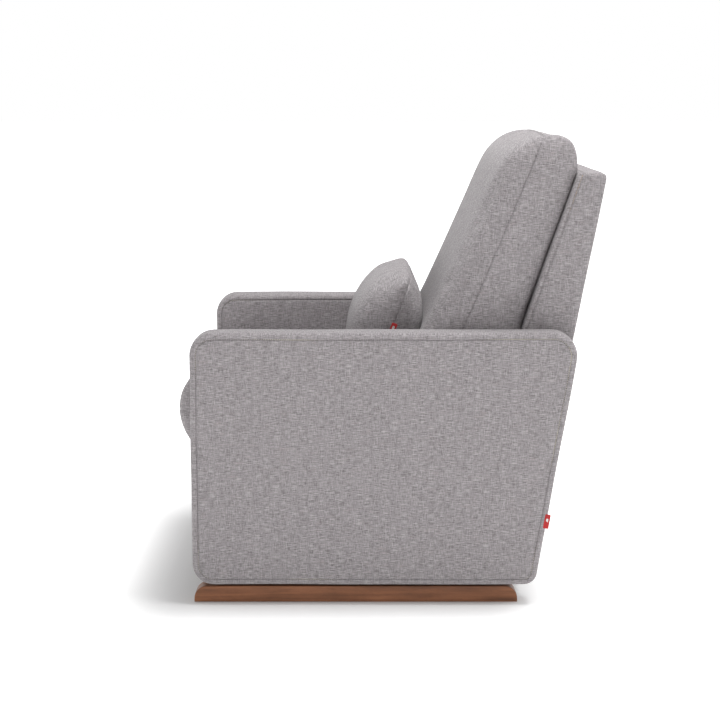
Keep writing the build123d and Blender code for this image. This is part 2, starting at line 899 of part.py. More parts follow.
# ---- cushions ----
def seat_cushion_layer(depth):
    """Seat cushion shape with its round nose, shrunk by a depth."""
    rear = rear_board_y
    low, high = seat_cushion_bottom + depth, seat_cushion_top - depth
    radius = seat_nose_radius - depth
    nose = Pos(seat_nose_radius, seat_nose_height) * Circle(radius)
    body_front = seat_nose_radius
    middle = ((body_front + rear - depth) / 2, (low + high) / 2)
    body = Pos(*middle) * Rectangle(rear - depth - body_front, high - low)
    front = Pos(body_front / 2, (low + high) / 2) * Rectangle(body_front, high - low)
    outline = body + (front & nose)
    for corner_y, corner_z, corner_radius in (
        (0, high, seat_edge_radius),
        (0, low, seat_edge_radius),
        (rear, high, seat_rear_radius),
        (rear, low, seat_rear_radius),
    ):
        corner = outline.vertices().sort_by_distance(Vector(corner_y, corner_z))[0]
        outline = fillet(corner, corner_radius - depth)
    reach = soft_half_width - depth
    return slab(outline, -reach, reach, seat_side_radius - depth)


def back_cushion_outline():
    """Corners of the back cushion, seen from the side: its top falls towards the rear."""
    low = seat_cushion_top + soft_gap
    front_slope = tan(radians(back_cushion_lean))
    rear_slope = tan(radians(back_front_lean))
    fall_slope = tan(radians(back_cushion_top_fall))
    rear_low = back_front_y(low) - back_cushion_gap
    front_low = rear_low - back_cushion_thickness
    # The round of the front top corner reaches cushion_top, and the falling top leaves it at a tangent.
    round_z = cushion_top - back_cushion_front_radius
    round_y = front_low + (round_z - low) * front_slope
    round_y += back_cushion_front_radius / cos(radians(back_cushion_lean))
    top_z = round_z + back_cushion_front_radius / cos(radians(back_cushion_top_fall))

    def under_top(start, slope):
        """Where a face that rises from start at the bottom meets the top."""
        z = (top_z - (start - low * slope - round_y) * fall_slope) / (1 + slope * fall_slope)
        return start + (z - low) * slope, z

    return [
        (front_low, low),
        (rear_low, low),
        under_top(rear_low, rear_slope),
        under_top(front_low, front_slope),
    ]


def back_cushion_layer(depth):
    """Back cushion shape with its round top, shrunk by a depth."""
    radii = [
        back_cushion_bottom_radius,
        back_cushion_bottom_radius,
        back_cushion_rear_radius,
        back_cushion_front_radius,
    ]
    outline = rounded(inset(back_cushion_outline(), depth), [radius - depth for radius in radii])
    reach = soft_half_width - depth
    return slab(outline, -reach, reach, back_cushion_side_radius - depth)


def on_back_cushion(away, rise):
    """Side-plane place at a distance from the back cushion's face and up along it."""
    foot_y, foot_z = back_cushion_outline()[0]
    lean = radians(back_cushion_lean)
    return foot_y - away * cos(lean) + rise * sin(lean), foot_z + away * sin(lean) + rise * cos(lean)


def pillow_layer(depth):
    """Lumbar pillow leaning on the back cushion, flattened where it stands on the seat."""
    centre_y, centre_z = on_back_cushion(pillow_thickness / 2 + soft_gap, pillow_rise)
    oval = Ellipse(pillow_thickness / 2 - depth, pillow_height / 2 - depth)
    side = slab(
        Pos(centre_y, centre_z) * Rot(0, 0, -back_cushion_lean) * oval,
        -pillow_width / 2 + depth,
        pillow_width / 2 - depth,
    )
    floor = seat_cushion_top + soft_gap + depth
    ceiling = centre_z + pillow_height
    y_range = (centre_y - pillow_height, centre_y + pillow_height)
    return side & block((-pillow_width, pillow_width), y_range, (floor, ceiling))


def cover_and_core(layer):
    """A fabric skin and the filling inside it."""
    return layer(0) - layer(cover_thickness), layer(cover_thickness + fit_gap)


def pillow_tab():
    """Folded fabric tab from the pillow's left end seam, lying flat on its end."""
    y, z = on_back_cushion(pillow_tab_away, pillow_tab_rise)
    x = pillow_width / 2 + pillow_tab_gap + tab_thickness / 2
    tab = Box(tab_thickness, pillow_tab_width, pillow_tab_length)
    return Pos(x, y, z) * Rot(-back_cushion_lean, 0, 0) * tab


# ---- every node, by name ----
def chair_nodes():
    seat_cover, seat_core = cover_and_core(seat_cushion_layer)
    back_cover, back_core = cover_and_core(back_cushion_layer)
    pillow_cover, pillow_fill = cover_and_core(pillow_layer)
    tab = arm_tab()
    cover = arm_cover()
    screws = both_sides([rail_screw(y) for y in rail_screw_places()])
    pairs = {
        "base_rail": base_rail(),
        "hanger_rail": hanger_rail(),
        "seat_side_board": side_board(),
        "arm_inner_panel": arm_inner_panel(),
        "arm_outer_panel": arm_outer_panel(),
        "arm_padding": arm_padding(),
        "back_post": back_post(),
    }
    nodes = {}
    for name, solid in pairs.items():
        nodes[name + "_left"] = solid
        nodes[name + "_right"] = other_side(solid)
    strips = arm_strips()
    nodes["arm_strips_left"] = strips
    nodes["arm_strips_right"] = [other_side(strip) for strip in strips]
    nodes["arm_cover_left"] = cover - tab
    nodes["arm_cover_right"] = other_side(cover)
    for place, y in zip(("front", "rear"), pivot_ys):
        nodes["cross_tube_" + place] = cross_tube(y)
        nodes["pivot_upright_" + place + "_left"] = pivot_upright(y)
        nodes["pivot_upright_" + place + "_right"] = other_side(pivot_upright(y))
        nodes["swing_link_" + place + "_left"] = swing_link(y)
        nodes["swing_link_" + place + "_right"] = other_side(swing_link(y))
        nodes[place + "_link_bearings"] = link_bearings(y)
    nodes.update(
        {
            "floor_pads": floor_pads(),
            "rail_screws": screws,
            "upright_bolts": upright_bolts(),
            "link_stop_bumpers": link_stop_bumpers(),
            "upper_pivot_bolts": upper_pivot_bolts(),
            "upper_pivot_nuts": upper_pivot_nuts(),
            "hanger_bolts": hanger_bolts(),
            "lower_pivot_bolts": lower_pivot_bolts(),
            "lower_pivot_nuts": lower_pivot_nuts(),
            "seat_front_board": end_board(front_board_y),
            "seat_rear_board": end_board(rear_board_y),
            "seat_corner_blocks": corner_blocks(),
            "seat_springs": [zigzag_spring(x) for x in spring_xs],
            "seat_spring_clips": spring_clips(),
            "seat_deck_cloth": deck_cloth(),
            "front_apron": front_apron(),
            "arm_bolts": arm_bolts(),
            "arm_tab": tab,
            "outer_back_cover": outer_back_cover(),
            "back_top_rail": back_rail(back_top - back_lining - back_rail_height - back_rail_gap),
            "back_middle_rail": back_rail(back_knee_height),
            "back_bottom_rail": back_rail(back_bottom + back_lining),
            "back_webbing": back_webbing(),
            "seat_cushion_cover": seat_cover,
            "seat_cushion_core": seat_core,
            "back_cushion_cover": back_cover,
            "back_cushion_core": back_core,
            "pillow_cover": pillow_cover,
            "pillow_fill": pillow_fill,
            "pillow_tab": pillow_tab(),
        }
    )
    return nodes


# The rounded rear top corner of the back is the chair's rearmost point.
overall_depth = inset(back_outline(), back_corner_rear)[2][0] + back_corner_rear

os.makedirs("parts", exist_ok=True)
for name, shape in chair_nodes().items():
    pieces = shape if isinstance(shape, list) else [shape]
    solids = [solid for piece in pieces for solid in piece.solids()]
    placed = [Pos(0, -overall_depth / 2, 0) * solid for solid in solids]
    export_step(Compound(children=placed), f"parts/{name}.step")

print("overall depth", round(overall_depth, 3))
print("pivot places Y", [round(y - overall_depth / 2, 3) for y in pivot_ys])
print("pivot heights", lower_pivot_z, upper_pivot_z)
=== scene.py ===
import json
from math import cos, exp, hypot, pi, radians, sin, tan

import bmesh
import bpy
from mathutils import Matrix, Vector, noise
from mathutils.bvhtree import BVHTree


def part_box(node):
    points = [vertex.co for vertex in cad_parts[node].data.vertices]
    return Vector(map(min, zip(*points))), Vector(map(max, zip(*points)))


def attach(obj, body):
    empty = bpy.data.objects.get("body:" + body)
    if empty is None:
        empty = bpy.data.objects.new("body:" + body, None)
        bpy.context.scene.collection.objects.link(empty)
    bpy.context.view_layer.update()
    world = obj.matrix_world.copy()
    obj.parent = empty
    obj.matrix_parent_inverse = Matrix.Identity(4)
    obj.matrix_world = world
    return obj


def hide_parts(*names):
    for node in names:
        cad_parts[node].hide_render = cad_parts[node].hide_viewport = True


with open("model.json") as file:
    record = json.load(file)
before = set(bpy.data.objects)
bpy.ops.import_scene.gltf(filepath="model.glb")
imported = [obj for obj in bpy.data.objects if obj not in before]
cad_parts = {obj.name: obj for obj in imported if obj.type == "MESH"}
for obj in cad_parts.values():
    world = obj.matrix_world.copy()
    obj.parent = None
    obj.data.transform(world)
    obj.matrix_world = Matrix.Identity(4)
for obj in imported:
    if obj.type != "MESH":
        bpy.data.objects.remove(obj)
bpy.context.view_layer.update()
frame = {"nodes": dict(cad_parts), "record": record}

# Glider nursery chair in metres. The chair faces -Y and +X is the sitter's left.
scene = bpy.context.scene
scene.view_settings.view_transform = "Standard"

# Noise vectors start from the clock unless they are seeded, and then no two runs are alike.
WANDER_SEED = 7
noise.seed_set(WANDER_SEED)

# ---- camera and light ----
LENS = 85.0
SENSOR = 36.0
CAMERA_PLACE = (4.017, -0.066, 1.119)
CAMERA_DOWN = 8.955
KEY_LIGHT_PLACE = (0.25, 0.7, 3.3)
KEY_LIGHT_AIM = (0.0, 0.1, 0.4)
KEY_LIGHT_SIZE = 1.5
KEY_LIGHT_POWER = 95
FLOOR_REACH = 60.0

# ---- upholstery: lengths in metres, leans in degrees ----
ARM_CORNERS = (0.047, 0.028, 0.052, 0.050)
ARM_REAR_LEAN = 9.61
ARM_EDGE = 0.012
ARM_SEAM = 0.0138
BACK_EDGE = 0.005
BACK_CORNERS = (0.004, 0.004, 0.011, 0.004, 0.016)
BACK_FRONT_LEAN = 18.9
BACK_REAR_LEAN = 10.6
BACK_KNEE = 0.320
BACK_STRIP = 0.0095
CUSHION_LEAN = 22.8
CUSHION_TOP_FALL = 16.0
CUSHION_THICKNESS = 0.224
CUSHION_GAP = 0.0025
CUSHION_ROUND = 0.120
CUSHION_REAR_ROUND = 0.055
CUSHION_REAR_EDGE = 0.011
CUSHION_FRONT_EDGE = 0.013
CUSHION_PRESS = 0.013
SEAT_INSET = 0.006
SEAT_CORNERS = (0.024, 0.030, 0.030, 0.024)
SEAT_EDGE = 0.018
BACK_INSET = 0.005
SEAT_VOXEL = 0.0077
BACK_VOXEL = 0.0072
OUTER_BACK_VOXEL = 0.0055
PILLOW_VOXEL = 0.005
FILLING_LIMIT = 0.009
PILLOW_LIMIT = 0.006
PILLOW_HALF_HEIGHT = 0.148
PILLOW_HALF_THICKNESS = 0.077
PILLOW_MIDDLE = (0.028, 0.066)
CORE_DEPTH = 0.0035
CORE_SCALE = 0.982
SEAM_DEPTH = 0.0022
SEAM_WIDTH = 0.0015
STITCH_PITCH = 0.0050
STITCH_LENGTH = 0.0034
STITCH_THICKNESS = 0.0007


# ======== Shader maths ========
class Value:
    """A number or colour on its way through a material, with arithmetic."""

    def __init__(self, maker, socket):
        self.maker = maker
        self.socket = socket

    def math(self, operation, *others, clamp=False):
        values = {i: value for i, value in enumerate((self,) + others)}
        settings = {"operation": operation, "use_clamp": clamp}
        return self.maker.node("ShaderNodeMath", settings, values)

    def flipped(self, operation, other):
        return self.maker.node("ShaderNodeMath", {"operation": operation}, {0: other, 1: self})

    def __add__(self, other):
        return self.math("ADD", other)

    def __sub__(self, other):
        return self.math("SUBTRACT", other)

    def __mul__(self, other):
        return self.math("MULTIPLY", other)

    def __pow__(self, other):
        return self.math("POWER", other)

    def __rsub__(self, other):
        return self.flipped("SUBTRACT", other)

    __radd__ = __add__
    __rmul__ = __mul__

    def above(self, limit):
        return self.math("GREATER_THAN", limit)

    def clamped(self):
        return self.math("ADD", 0.0, clamp=True)

    def positive(self):
        return self.math("MAXIMUM", 0.0)

    def smooth(self, low, high):
        """0 below low, 1 above high and a soft step between."""
        values = {0: self, 1: low, 2: high, 3: 0.0, 4: 1.0}
        return self.maker.node("ShaderNodeMapRange", {"interpolation_type": "SMOOTHSTEP"}, values)


class Finish:
    """One material and the nodes that make it."""

    def __init__(self, name, roughness=0.7, **uniform):
        self.material = bpy.data.materials.new(name)
        self.material.use_nodes = True
        self.tree = self.material.node_tree
        self.tree.nodes.clear()
        self.output = self.tree.nodes.new("ShaderNodeOutputMaterial")
        self.shader = self.tree.nodes.new("ShaderNodeBsdfPrincipled")
        self.tree.links.new(self.shader.outputs[0], self.output.inputs[0])
        self.shader.inputs["Roughness"].default_value = roughness
        for key, value in uniform.items():
            self.shader.inputs[key.replace("_", " ")].default_value = value

    def node(self, kind, settings=None, values=None, out=0):
        made = self.tree.nodes.new(kind)
        for key, setting in (settings or {}).items():
            if key == "stops":
                ramp = made.color_ramp.elements
                while len(ramp) < len(setting):
                    ramp.new(0.5)
                for element, (place, colour) in zip(ramp, setting):
                    element.position = place
                    element.color = (*colour, 1.0)
            else:
                setattr(made, key, setting)
        for key, value in (values or {}).items():
            if isinstance(value, Value):
                self.tree.links.new(value.socket, made.inputs[key])
            else:
                made.inputs[key].default_value = value
        return Value(self, made.outputs[out])

    def place(self):
        """Object coordinates."""
        return self.node("ShaderNodeTexCoord", out=3)

    def split(self, vector):
        parts = self.node("ShaderNodeSeparateXYZ", None, {0: vector})
        return [Value(self, parts.socket.node.outputs[i]) for i in range(3)]

    def join(self, x, y, z=0.0):
        return self.node("ShaderNodeCombineXYZ", None, {0: x, 1: y, 2: z})

    def noise(self, vector, scale, detail=2.0, rough=0.5, distortion=0.0):
        values = {"Vector": vector, "Scale": scale, "Detail": detail, "Roughness": rough}
        values["Distortion"] = distortion
        return self.node("ShaderNodeTexNoise", {"noise_dimensions": "3D"}, values)

    def mix(self, factor, first, second):
        """Mixes two colours."""
        settings = {"data_type": "RGBA", "blend_type": "MIX", "clamp_factor": True}
        return self.node("ShaderNodeMix", settings, {0: factor, 6: first, 7: second}, out=2)

    def feed(self, **values):
        for key, value in values.items():
            self.tree.links.new(value.socket, self.shader.inputs[key.replace("_", " ")])

    def bump(self, height, distance, strength=1.0):
        values = {"Height": height, "Distance": distance, "Strength": strength}
        self.feed(Normal=self.node("ShaderNodeBump", None, values))


def rgba(r, g, b):
    return (r, g, b, 1.0)


def flat_cloth_coordinates(finish):
    """Two lengths along the cloth, taken from whichever plane the surface faces most."""
    x, y, z = finish.split(finish.place())
    normal = finish.node("ShaderNodeNewGeometry", out=1)
    nx, ny, nz = [part.math("ABSOLUTE") for part in finish.split(normal)]
    faces_side = nx.math("MAXIMUM", ny)
    side = nx.math("SUBTRACT", ny).above(0.0) * nx.math("SUBTRACT", nz).above(0.0)
    top = nz.math("SUBTRACT", faces_side).above(0.0)
    across = x * (1 - side) + y * side
    along = z * (1 - top) + y * top
    return across, along


def upholstery(name):
    """Grey melange weave with slubs both ways, faint warm patches and a soft fuzz."""
    finish = Finish(name, roughness=0.92, Sheen_Weight=0.18, Sheen_Roughness=0.45)
    finish.shader.inputs["Specular IOR Level"].default_value = 0.22
    across, along = flat_cloth_coordinates(finish)

    def streaks(a, b, long, short, detail=2.0, shift=0.0):
        vector = finish.join(a * (1 / long), b * (1 / short), shift)
        return finish.noise(vector, 1.0, detail, 0.55)

    weft = streaks(across, along, 0.012, 0.00095, 1.0)
    warp = streaks(across, along, 0.0010, 0.009, 1.0, 7.3)
    slub_weft = streaks(across, along, 0.020, 0.0011, 0.0, 3.1)
    slub_warp = streaks(across, along, 0.0012, 0.016, 0.0, 9.7)
    patch = finish.noise(finish.join(across, along, 2.0), 22.0, 2.0, 0.5)
    tint = finish.noise(finish.join(across * 2.0, along * 9.0, 5.0), 14.0, 2.0, 0.6)
    fuzz = finish.noise(finish.join(across, along, 0.0), 520.0, 1.0, 0.5)
    busy = patch.smooth(0.35, 0.65) * 0.3 + 0.90
    thread = ((weft - 0.5) * 1.35 + (warp - 0.5) * 0.80) * busy
    slubs = (slub_weft - 0.52).positive() * 1.7 + (slub_warp - 0.55).positive() * 0.8
    darks = (0.46 - slub_warp).positive() * 0.5 + (0.46 - slub_weft).positive() * 0.5
    tone = (thread + slubs - darks + (fuzz - 0.5) * 0.55 + 0.46).clamped()
    colour = finish.mix(tone, rgba(0.124, 0.113, 0.116), rgba(0.432, 0.404, 0.414))
    warm = finish.mix(tint.smooth(0.56, 0.74) * 0.22, colour, rgba(0.37, 0.31, 0.31))
    finish.feed(Base_Color=warm)
    wire = 2 * pi / 0.0026
    over = (across * wire).math("SINE") * (along * wire).math("SINE")
    height = over * 0.35 + thread * 1.2 + slubs * 1.4 + fuzz * 0.35
    finish.bump(height, 0.0009, 0.55)
    return finish.material


def walnut(name):
    """Lacquered walnut with long grain along Y, darker figure and fine pores."""
    finish = Finish(name, roughness=0.48, Coat_Weight=0.04, Coat_Roughness=0.30)
    finish.shader.inputs["Specular IOR Level"].default_value = 0.30
    x, y, z = finish.split(finish.place())
    bend = finish.noise(finish.join(y * 1.6, z * 5.0, x * 5.0), 1.0, 2.0)
    across = z + bend * 0.018
    grain = finish.noise(finish.join(y * 5.0, across * 170.0, x * 170.0), 1.0, 4.0, 0.6)
    figure = finish.noise(finish.join(y * 7.0, across * 34.0, x * 34.0 + 4.0), 1.0, 3.0, 0.55)
    pores = finish.noise(finish.join(y * 60.0, z * 1400.0, x * 1400.0), 1.0, 1.0)
    block = finish.noise(finish.join(y * 3.2, 0.0, x * 2.0), 1.0, 1.0)
    tone = figure * 0.55 + grain * 0.45
    ramp = finish.node(
        "ShaderNodeValToRGB",
        {
            "stops": [
                (0.30, (0.106, 0.040, 0.016)),
                (0.46, (0.205, 0.080, 0.035)),
                (0.60, (0.298, 0.118, 0.053)),
                (0.74, (0.385, 0.165, 0.080)),
            ]
        },
        {0: tone},
    )
    darker = finish.mix((pores.smooth(0.60, 0.72)) * 0.35, ramp, rgba(0.06, 0.028, 0.018))
    shaded = finish.mix(block.smooth(0.35, 0.75) * 0.30, darker, rgba(0.13, 0.052, 0.026))
    finish.feed(Base_Color=shaded, Roughness=grain * 0.18 + 0.34)
    finish.bump(grain * 0.6 - pores.smooth(0.6, 0.75) * 0.8, 0.0004, 0.5)
    return finish.material


def raw_wood(name, dark, light, along=1, layered=0.0):
    """Unfinished timber, plywood or fibre board."""
    finish = Finish(name, roughness=0.8)
    parts = finish.split(finish.place())
    scales = [180.0, 180.0, 180.0]
    scales[along] = 7.0
    vector = finish.join(*[part * scale for part, scale in zip(parts, scales)])
    grain = finish.noise(vector, 1.0, 4.0, 0.6, 0.4)
    stain = finish.noise(finish.place(), 9.0, 2.0)
    tone = (grain * 0.75 + stain * 0.35 - 0.05).clamped()
    if layered:
        plies = (parts[0] * (2 * pi / layered)).math("SINE").smooth(-0.2, 0.2)
        tone = (tone + plies * 0.25 - 0.12).clamped()
    colour = finish.mix(tone, rgba(*dark), rgba(*light))
    finish.feed(Base_Color=colour, Roughness=stain * 0.25 + 0.62)
    finish.bump(grain, 0.0005, 0.5)
    return finish.material


def foam(name, colour):
    """Open-cell foam: pale, porous and slightly uneven."""
    finish = Finish(name, roughness=0.95)
    cells = finish.node("ShaderNodeTexVoronoi", {"feature": "F1"}, {"Vector": finish.place(), "Scale": 420.0})
    cloud = finish.noise(finish.place(), 14.0, 3.0)
    shade = [part * 0.78 for part in colour]
    tone = (cells * 0.8 + cloud * 0.5).clamped()
    finish.feed(Base_Color=finish.mix(tone, rgba(*colour), rgba(*shade)), Roughness=cloud * 0.1 + 0.85)
    finish.bump(cells, 0.0010, 0.7)
    return finish.material


def painted_steel(name):
    """Black powder coat with a fine orange peel and dust on top."""
    finish = Finish(name, roughness=0.45)
    peel = finish.noise(finish.place(), 900.0, 2.0)
    dust = finish.noise(finish.place(), 25.0, 4.0)
    colour = finish.mix(dust.smooth(0.45, 0.8) * 0.5, rgba(0.018, 0.018, 0.020), rgba(0.060, 0.060, 0.062))
    finish.feed(Base_Color=colour, Roughness=dust * 0.25 + 0.32)
    finish.bump(peel, 0.0003, 0.35)
    return finish.material


def bare_metal(name, colour, roughness, streak):
    """Plated or ground metal with fine turning marks and blotches."""
    finish = Finish(name, roughness=roughness, Metallic=1.0)
    x, y, z = finish.split(finish.place())
    marks = finish.noise(finish.join(x * streak, y * 300.0, z * 300.0), 1.0, 2.0)
    blotch = finish.noise(finish.place(), 60.0, 3.0)
    shade = [part * 0.7 for part in colour]
    finish.feed(
        Base_Color=finish.mix(blotch.smooth(0.4, 0.8) * 0.6, rgba(*colour), rgba(*shade)),
        Roughness=marks * 0.2 + roughness - 0.08,
    )
    finish.bump(marks, 0.0002, 0.4)
    return finish.material


def moulded(name, colour, roughness):
    """Rubber or nylon with a fine sparked texture."""
    finish = Finish(name, roughness=roughness)
    grit = finish.noise(finish.place(), 1500.0, 2.0)
    scuff = finish.noise(finish.place(), 60.0, 4.0)
    pale = [min(part * 1.9 + 0.02, 1.0) for part in colour]
    finish.feed(
        Base_Color=finish.mix(scuff.smooth(0.5, 0.8) * 0.4, rgba(*colour), rgba(*pale)),
        Roughness=scuff * 0.2 + roughness - 0.1,
    )
    finish.bump(grit, 0.0003, 0.4)
    return finish.material


def plain_cloth(name, dark, light, pitch, roughness=0.9):
    """Simple over-and-under weave for tape, webbing and deck cloth."""
    finish = Finish(name, roughness=roughness)
    across, along = flat_cloth_coordinates(finish)
    wave = 2 * pi / pitch
    weave = (across * wave).math("SINE") * (along * wave).math("SINE") * 0.5 + 0.5
    uneven = finish.noise(finish.place(), 90.0, 3.0)
    tone = (weave * 0.6 + uneven * 0.5 - 0.05).clamped()
    colour = finish.mix(tone, rgba(*dark), rgba(*light))
    finish.feed(Base_Color=colour, Roughness=uneven * 0.15 + roughness - 0.1)
    finish.bump(weave + uneven * 0.4, 0.0005, 0.7)
    return finish.material


def thread(name):
    """Twisted sewing thread, a little darker than the cloth."""
    finish = Finish(name, roughness=0.7)
    x, y, z = finish.split(finish.place())
    twist = ((x + y + z) * (2 * pi / 0.0009)).math("SINE") * 0.5 + 0.5
    finish.feed(Base_Color=finish.mix(twist, rgba(0.13, 0.125, 0.125), rgba(0.24, 0.23, 0.23)))
    finish.bump(twist, 0.0002, 0.5)
    return finish.material


FINISHES = {
    "upholstery_fabric": upholstery("grey_linen_weave"),
    "walnut": walnut("lacquered_walnut"),
    "frame_plywood": raw_wood("birch_plywood", (0.36, 0.25, 0.14), (0.62, 0.47, 0.30), layered=0.0028),
    "hardboard": raw_wood("brown_hardboard", (0.14, 0.085, 0.05), (0.26, 0.165, 0.10)),
    "frame_timber": raw_wood("raw_pine", (0.42, 0.28, 0.15), (0.68, 0.51, 0.32), along=2),
    "foam": foam("upholstery_foam", (0.80, 0.74, 0.58)),
    "black_steel": painted_steel("black_powder_coat"),
    "zinc_fasteners": bare_metal("zinc_plate", (0.55, 0.56, 0.55), 0.36, 900.0),
    "bearing_steel": bare_metal("ground_bearing_steel", (0.66, 0.66, 0.67), 0.24, 1400.0),
    "bumper_rubber": moulded("bumper_rubber_black", (0.020, 0.020, 0.021), 0.75),
    "pad_nylon": moulded("dark_nylon", (0.035, 0.032, 0.030), 0.55),
    "spring_wire": bare_metal("oiled_spring_wire", (0.20, 0.20, 0.21), 0.42, 700.0),
    "deck_cloth": plain_cloth("black_deck_cloth", (0.010, 0.010, 0.011), (0.040, 0.040, 0.042), 0.0016),
    "webbing": plain_cloth("elastic_webbing", (0.022, 0.022, 0.024), (0.085, 0.085, 0.090), 0.0032),
    "red_tab": plain_cloth("red_woven_tape", (0.30, 0.008, 0.010), (0.62, 0.030, 0.030), 0.0012, 0.75),
}
PALE_TAPE = plain_cloth("pale_woven_tape", (0.62, 0.60, 0.58), (0.88, 0.86, 0.84), 0.0010, 0.8)
THREAD = thread("grey_sewing_thread")


def dress_frame():
    """Gives every CAD piece the finish of its material slot."""
    slots = {part["node"]: part["material_slot"] for part in frame["record"]["subparts"]}
    for node, slot_name in slots.items():
        node_object = bpy.data.objects[node] if node in bpy.data.objects else frame["nodes"][node]
        for material_slot in node_object.material_slots:
            material_slot.material = FINISHES[slot_name]


# ======== Mesh building ========
def dress(piece, finish=FINISHES["upholstery_fabric"]):
    """Smooth shading and one finish."""
    for face in piece.data.polygons:
        face.use_smooth = True
    piece.data.materials.clear()
    piece.data.materials.append(finish)


def new_piece(name, mesh_data, finish=FINISHES["upholstery_fabric"]):
    """A finished object at the origin, smooth shaded."""
    piece = bpy.data.objects.new(name, mesh_data)
    scene.collection.objects.link(piece)
    dress(piece, finish)
    return piece


def applied(piece):
    """Mesh data of a piece with its modifiers applied."""
    depsgraph = bpy.context.evaluated_depsgraph_get()
    data = bpy.data.meshes.new_from_object(piece.evaluated_get(depsgraph))
    piece.modifiers.clear()
    return data


def to_mesh(name, form):
    """Turns a bmesh into mesh data with its normals outwards."""
    bmesh.ops.remove_doubles(form, verts=form.verts, dist=0.00002)
    bmesh.ops.recalc_face_normals(form, faces=form.faces)
    data = bpy.data.meshes.new(name)
    form.to_mesh(data)
    form.free()
    return data


def inset_corners(corners, distance):
    """Corners of a counter-clockwise outline whose edges all move inwards."""
    moved = []
    count = len(corners)
    for i, here in enumerate(corners):
        before, after = corners[i - 1], corners[(i + 1) % count]
        a = (here[0] - before[0], here[1] - before[1])
        b = (after[0] - here[0], after[1] - here[1])
        na = (-a[1] / hypot(*a), a[0] / hypot(*a))
        nb = (-b[1] / hypot(*b), b[0] / hypot(*b))
        spread = 1 + na[0] * nb[0] + na[1] * nb[1]
        first = here[0] + distance * (na[0] + nb[0]) / spread
        second = here[1] + distance * (na[1] + nb[1]) / spread
        moved.append((first, second))
    return moved


def rounded_loop(corners, radii, arc_steps, edge_steps):
    """Points round an outline with rounded corners: the same number for every inset."""
    count = len(corners)
    arcs = []
    for i, here in enumerate(corners):
        before, after = Vector(corners[i - 1]), Vector(corners[(i + 1) % count])
        here = Vector(here)
        into = (here - before).normalized()
        out = (after - here).normalized()
        turn = into.angle_signed(out)
        reach = radii[i] * tan(abs(turn) / 2)
        start = here - into * reach
        centre = start + Vector((-into.y, into.x)) * radii[i]
        arm = start - centre
        points = []
        for k in range(arc_steps + 1):
            angle = abs(turn) * k / arc_steps
            first = arm.x * cos(angle) - arm.y * sin(angle)
            second = arm.x * sin(angle) + arm.y * cos(angle)
            points.append(centre + Vector((first, second)))
        arcs.append(points)
    loop = []
    for i, points in enumerate(arcs):
        loop += points
        nxt = arcs[(i + 1) % count][0]
        for k in range(1, edge_steps[i]):
            loop.append(points[-1].lerp(nxt, k / edge_steps[i]))
    return loop


def edge_counts(corners, spacing):
    """How many steps each straight edge takes."""
    count = len(corners)
    return [
        max(2, round((Vector(corners[(i + 1) % count]) - Vector(corners[i])).length / spacing))
        for i in range(count)
    ]


def ringed(name, corners, radii, profile, place, spacing=0.012, arc_steps=9):
    """A closed shape from rings: each step of the profile is (inset from the outline, offset across)."""
    steps = edge_counts(corners, spacing)
    form = bmesh.new()
    rings = []
    for depth, across in profile:
        shrunk = [max(radius - depth, 0.002) for radius in radii]
        loop = rounded_loop(inset_corners(corners, depth), shrunk, arc_steps, steps)
        rings.append([form.verts.new(place(across, point[0], point[1])) for point in loop])
    for first, second in zip(rings, rings[1:]):
        for i in range(len(first)):
            j = (i + 1) % len(first)
            form.faces.new((first[i], first[j], second[j], second[i]))
    form.faces.new(rings[0])
    form.faces.new(rings[-1])
    return to_mesh(name, form)


def side_place(centre):
    """Puts a side-plane outline at its X."""
    return lambda across, y, z: (centre + across, y, z)


def boxed_profile(half, edge, seam, crown, deepest, boxing_crown=0.0008, belly=6):
    """Inset and offset steps across a slab with rounded edges and a sunk seam on both faces."""
    face = [
        (seam + 0.0016, half - SEAM_DEPTH * 0.15),
        (seam + 0.0006, half - SEAM_DEPTH * 0.70),
        (seam, half - SEAM_DEPTH),
        (seam - 0.0006, half - SEAM_DEPTH * 0.65),
    ]
    if seam - 0.0014 > edge:
        face.append((seam - 0.0014, half - SEAM_DEPTH * 0.1))
    depth = seam + 0.0045
    outer = []
    while depth < deepest:
        outer.append((depth, half + crown * (1 - exp(-(depth - seam) / 0.035))))
        depth = depth * 1.35 + 0.002
    face = outer[::-1] + face
    for k in range(7):
        angle = pi / 2 * k / 6
        face.append((edge - edge * sin(angle), half - edge + edge * cos(angle)))
    strip = []
    for k in range(1, belly):
        t = -1 + 2 * k / belly
        strip.append((-boxing_crown * (1 - t * t), -t * (half - edge)))
    other = [(d, -x) for d, x in face[::-1]]
    return face + strip + other


def wander(mesh_data, size, amount, seed):
    """Slow unevenness of hand-pulled cloth."""
    shift = Vector((seed * 3.7, seed * 1.9, seed * 5.3))
    for vertex in mesh_data.vertices:
        vertex.co += noise.noise_vector(vertex.co / size + shift) * amount


def cad_box_of(node):
    """Lowest and highest corner of a CAD piece."""
    lo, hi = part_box(node)
    return Vector(lo), Vector(hi)


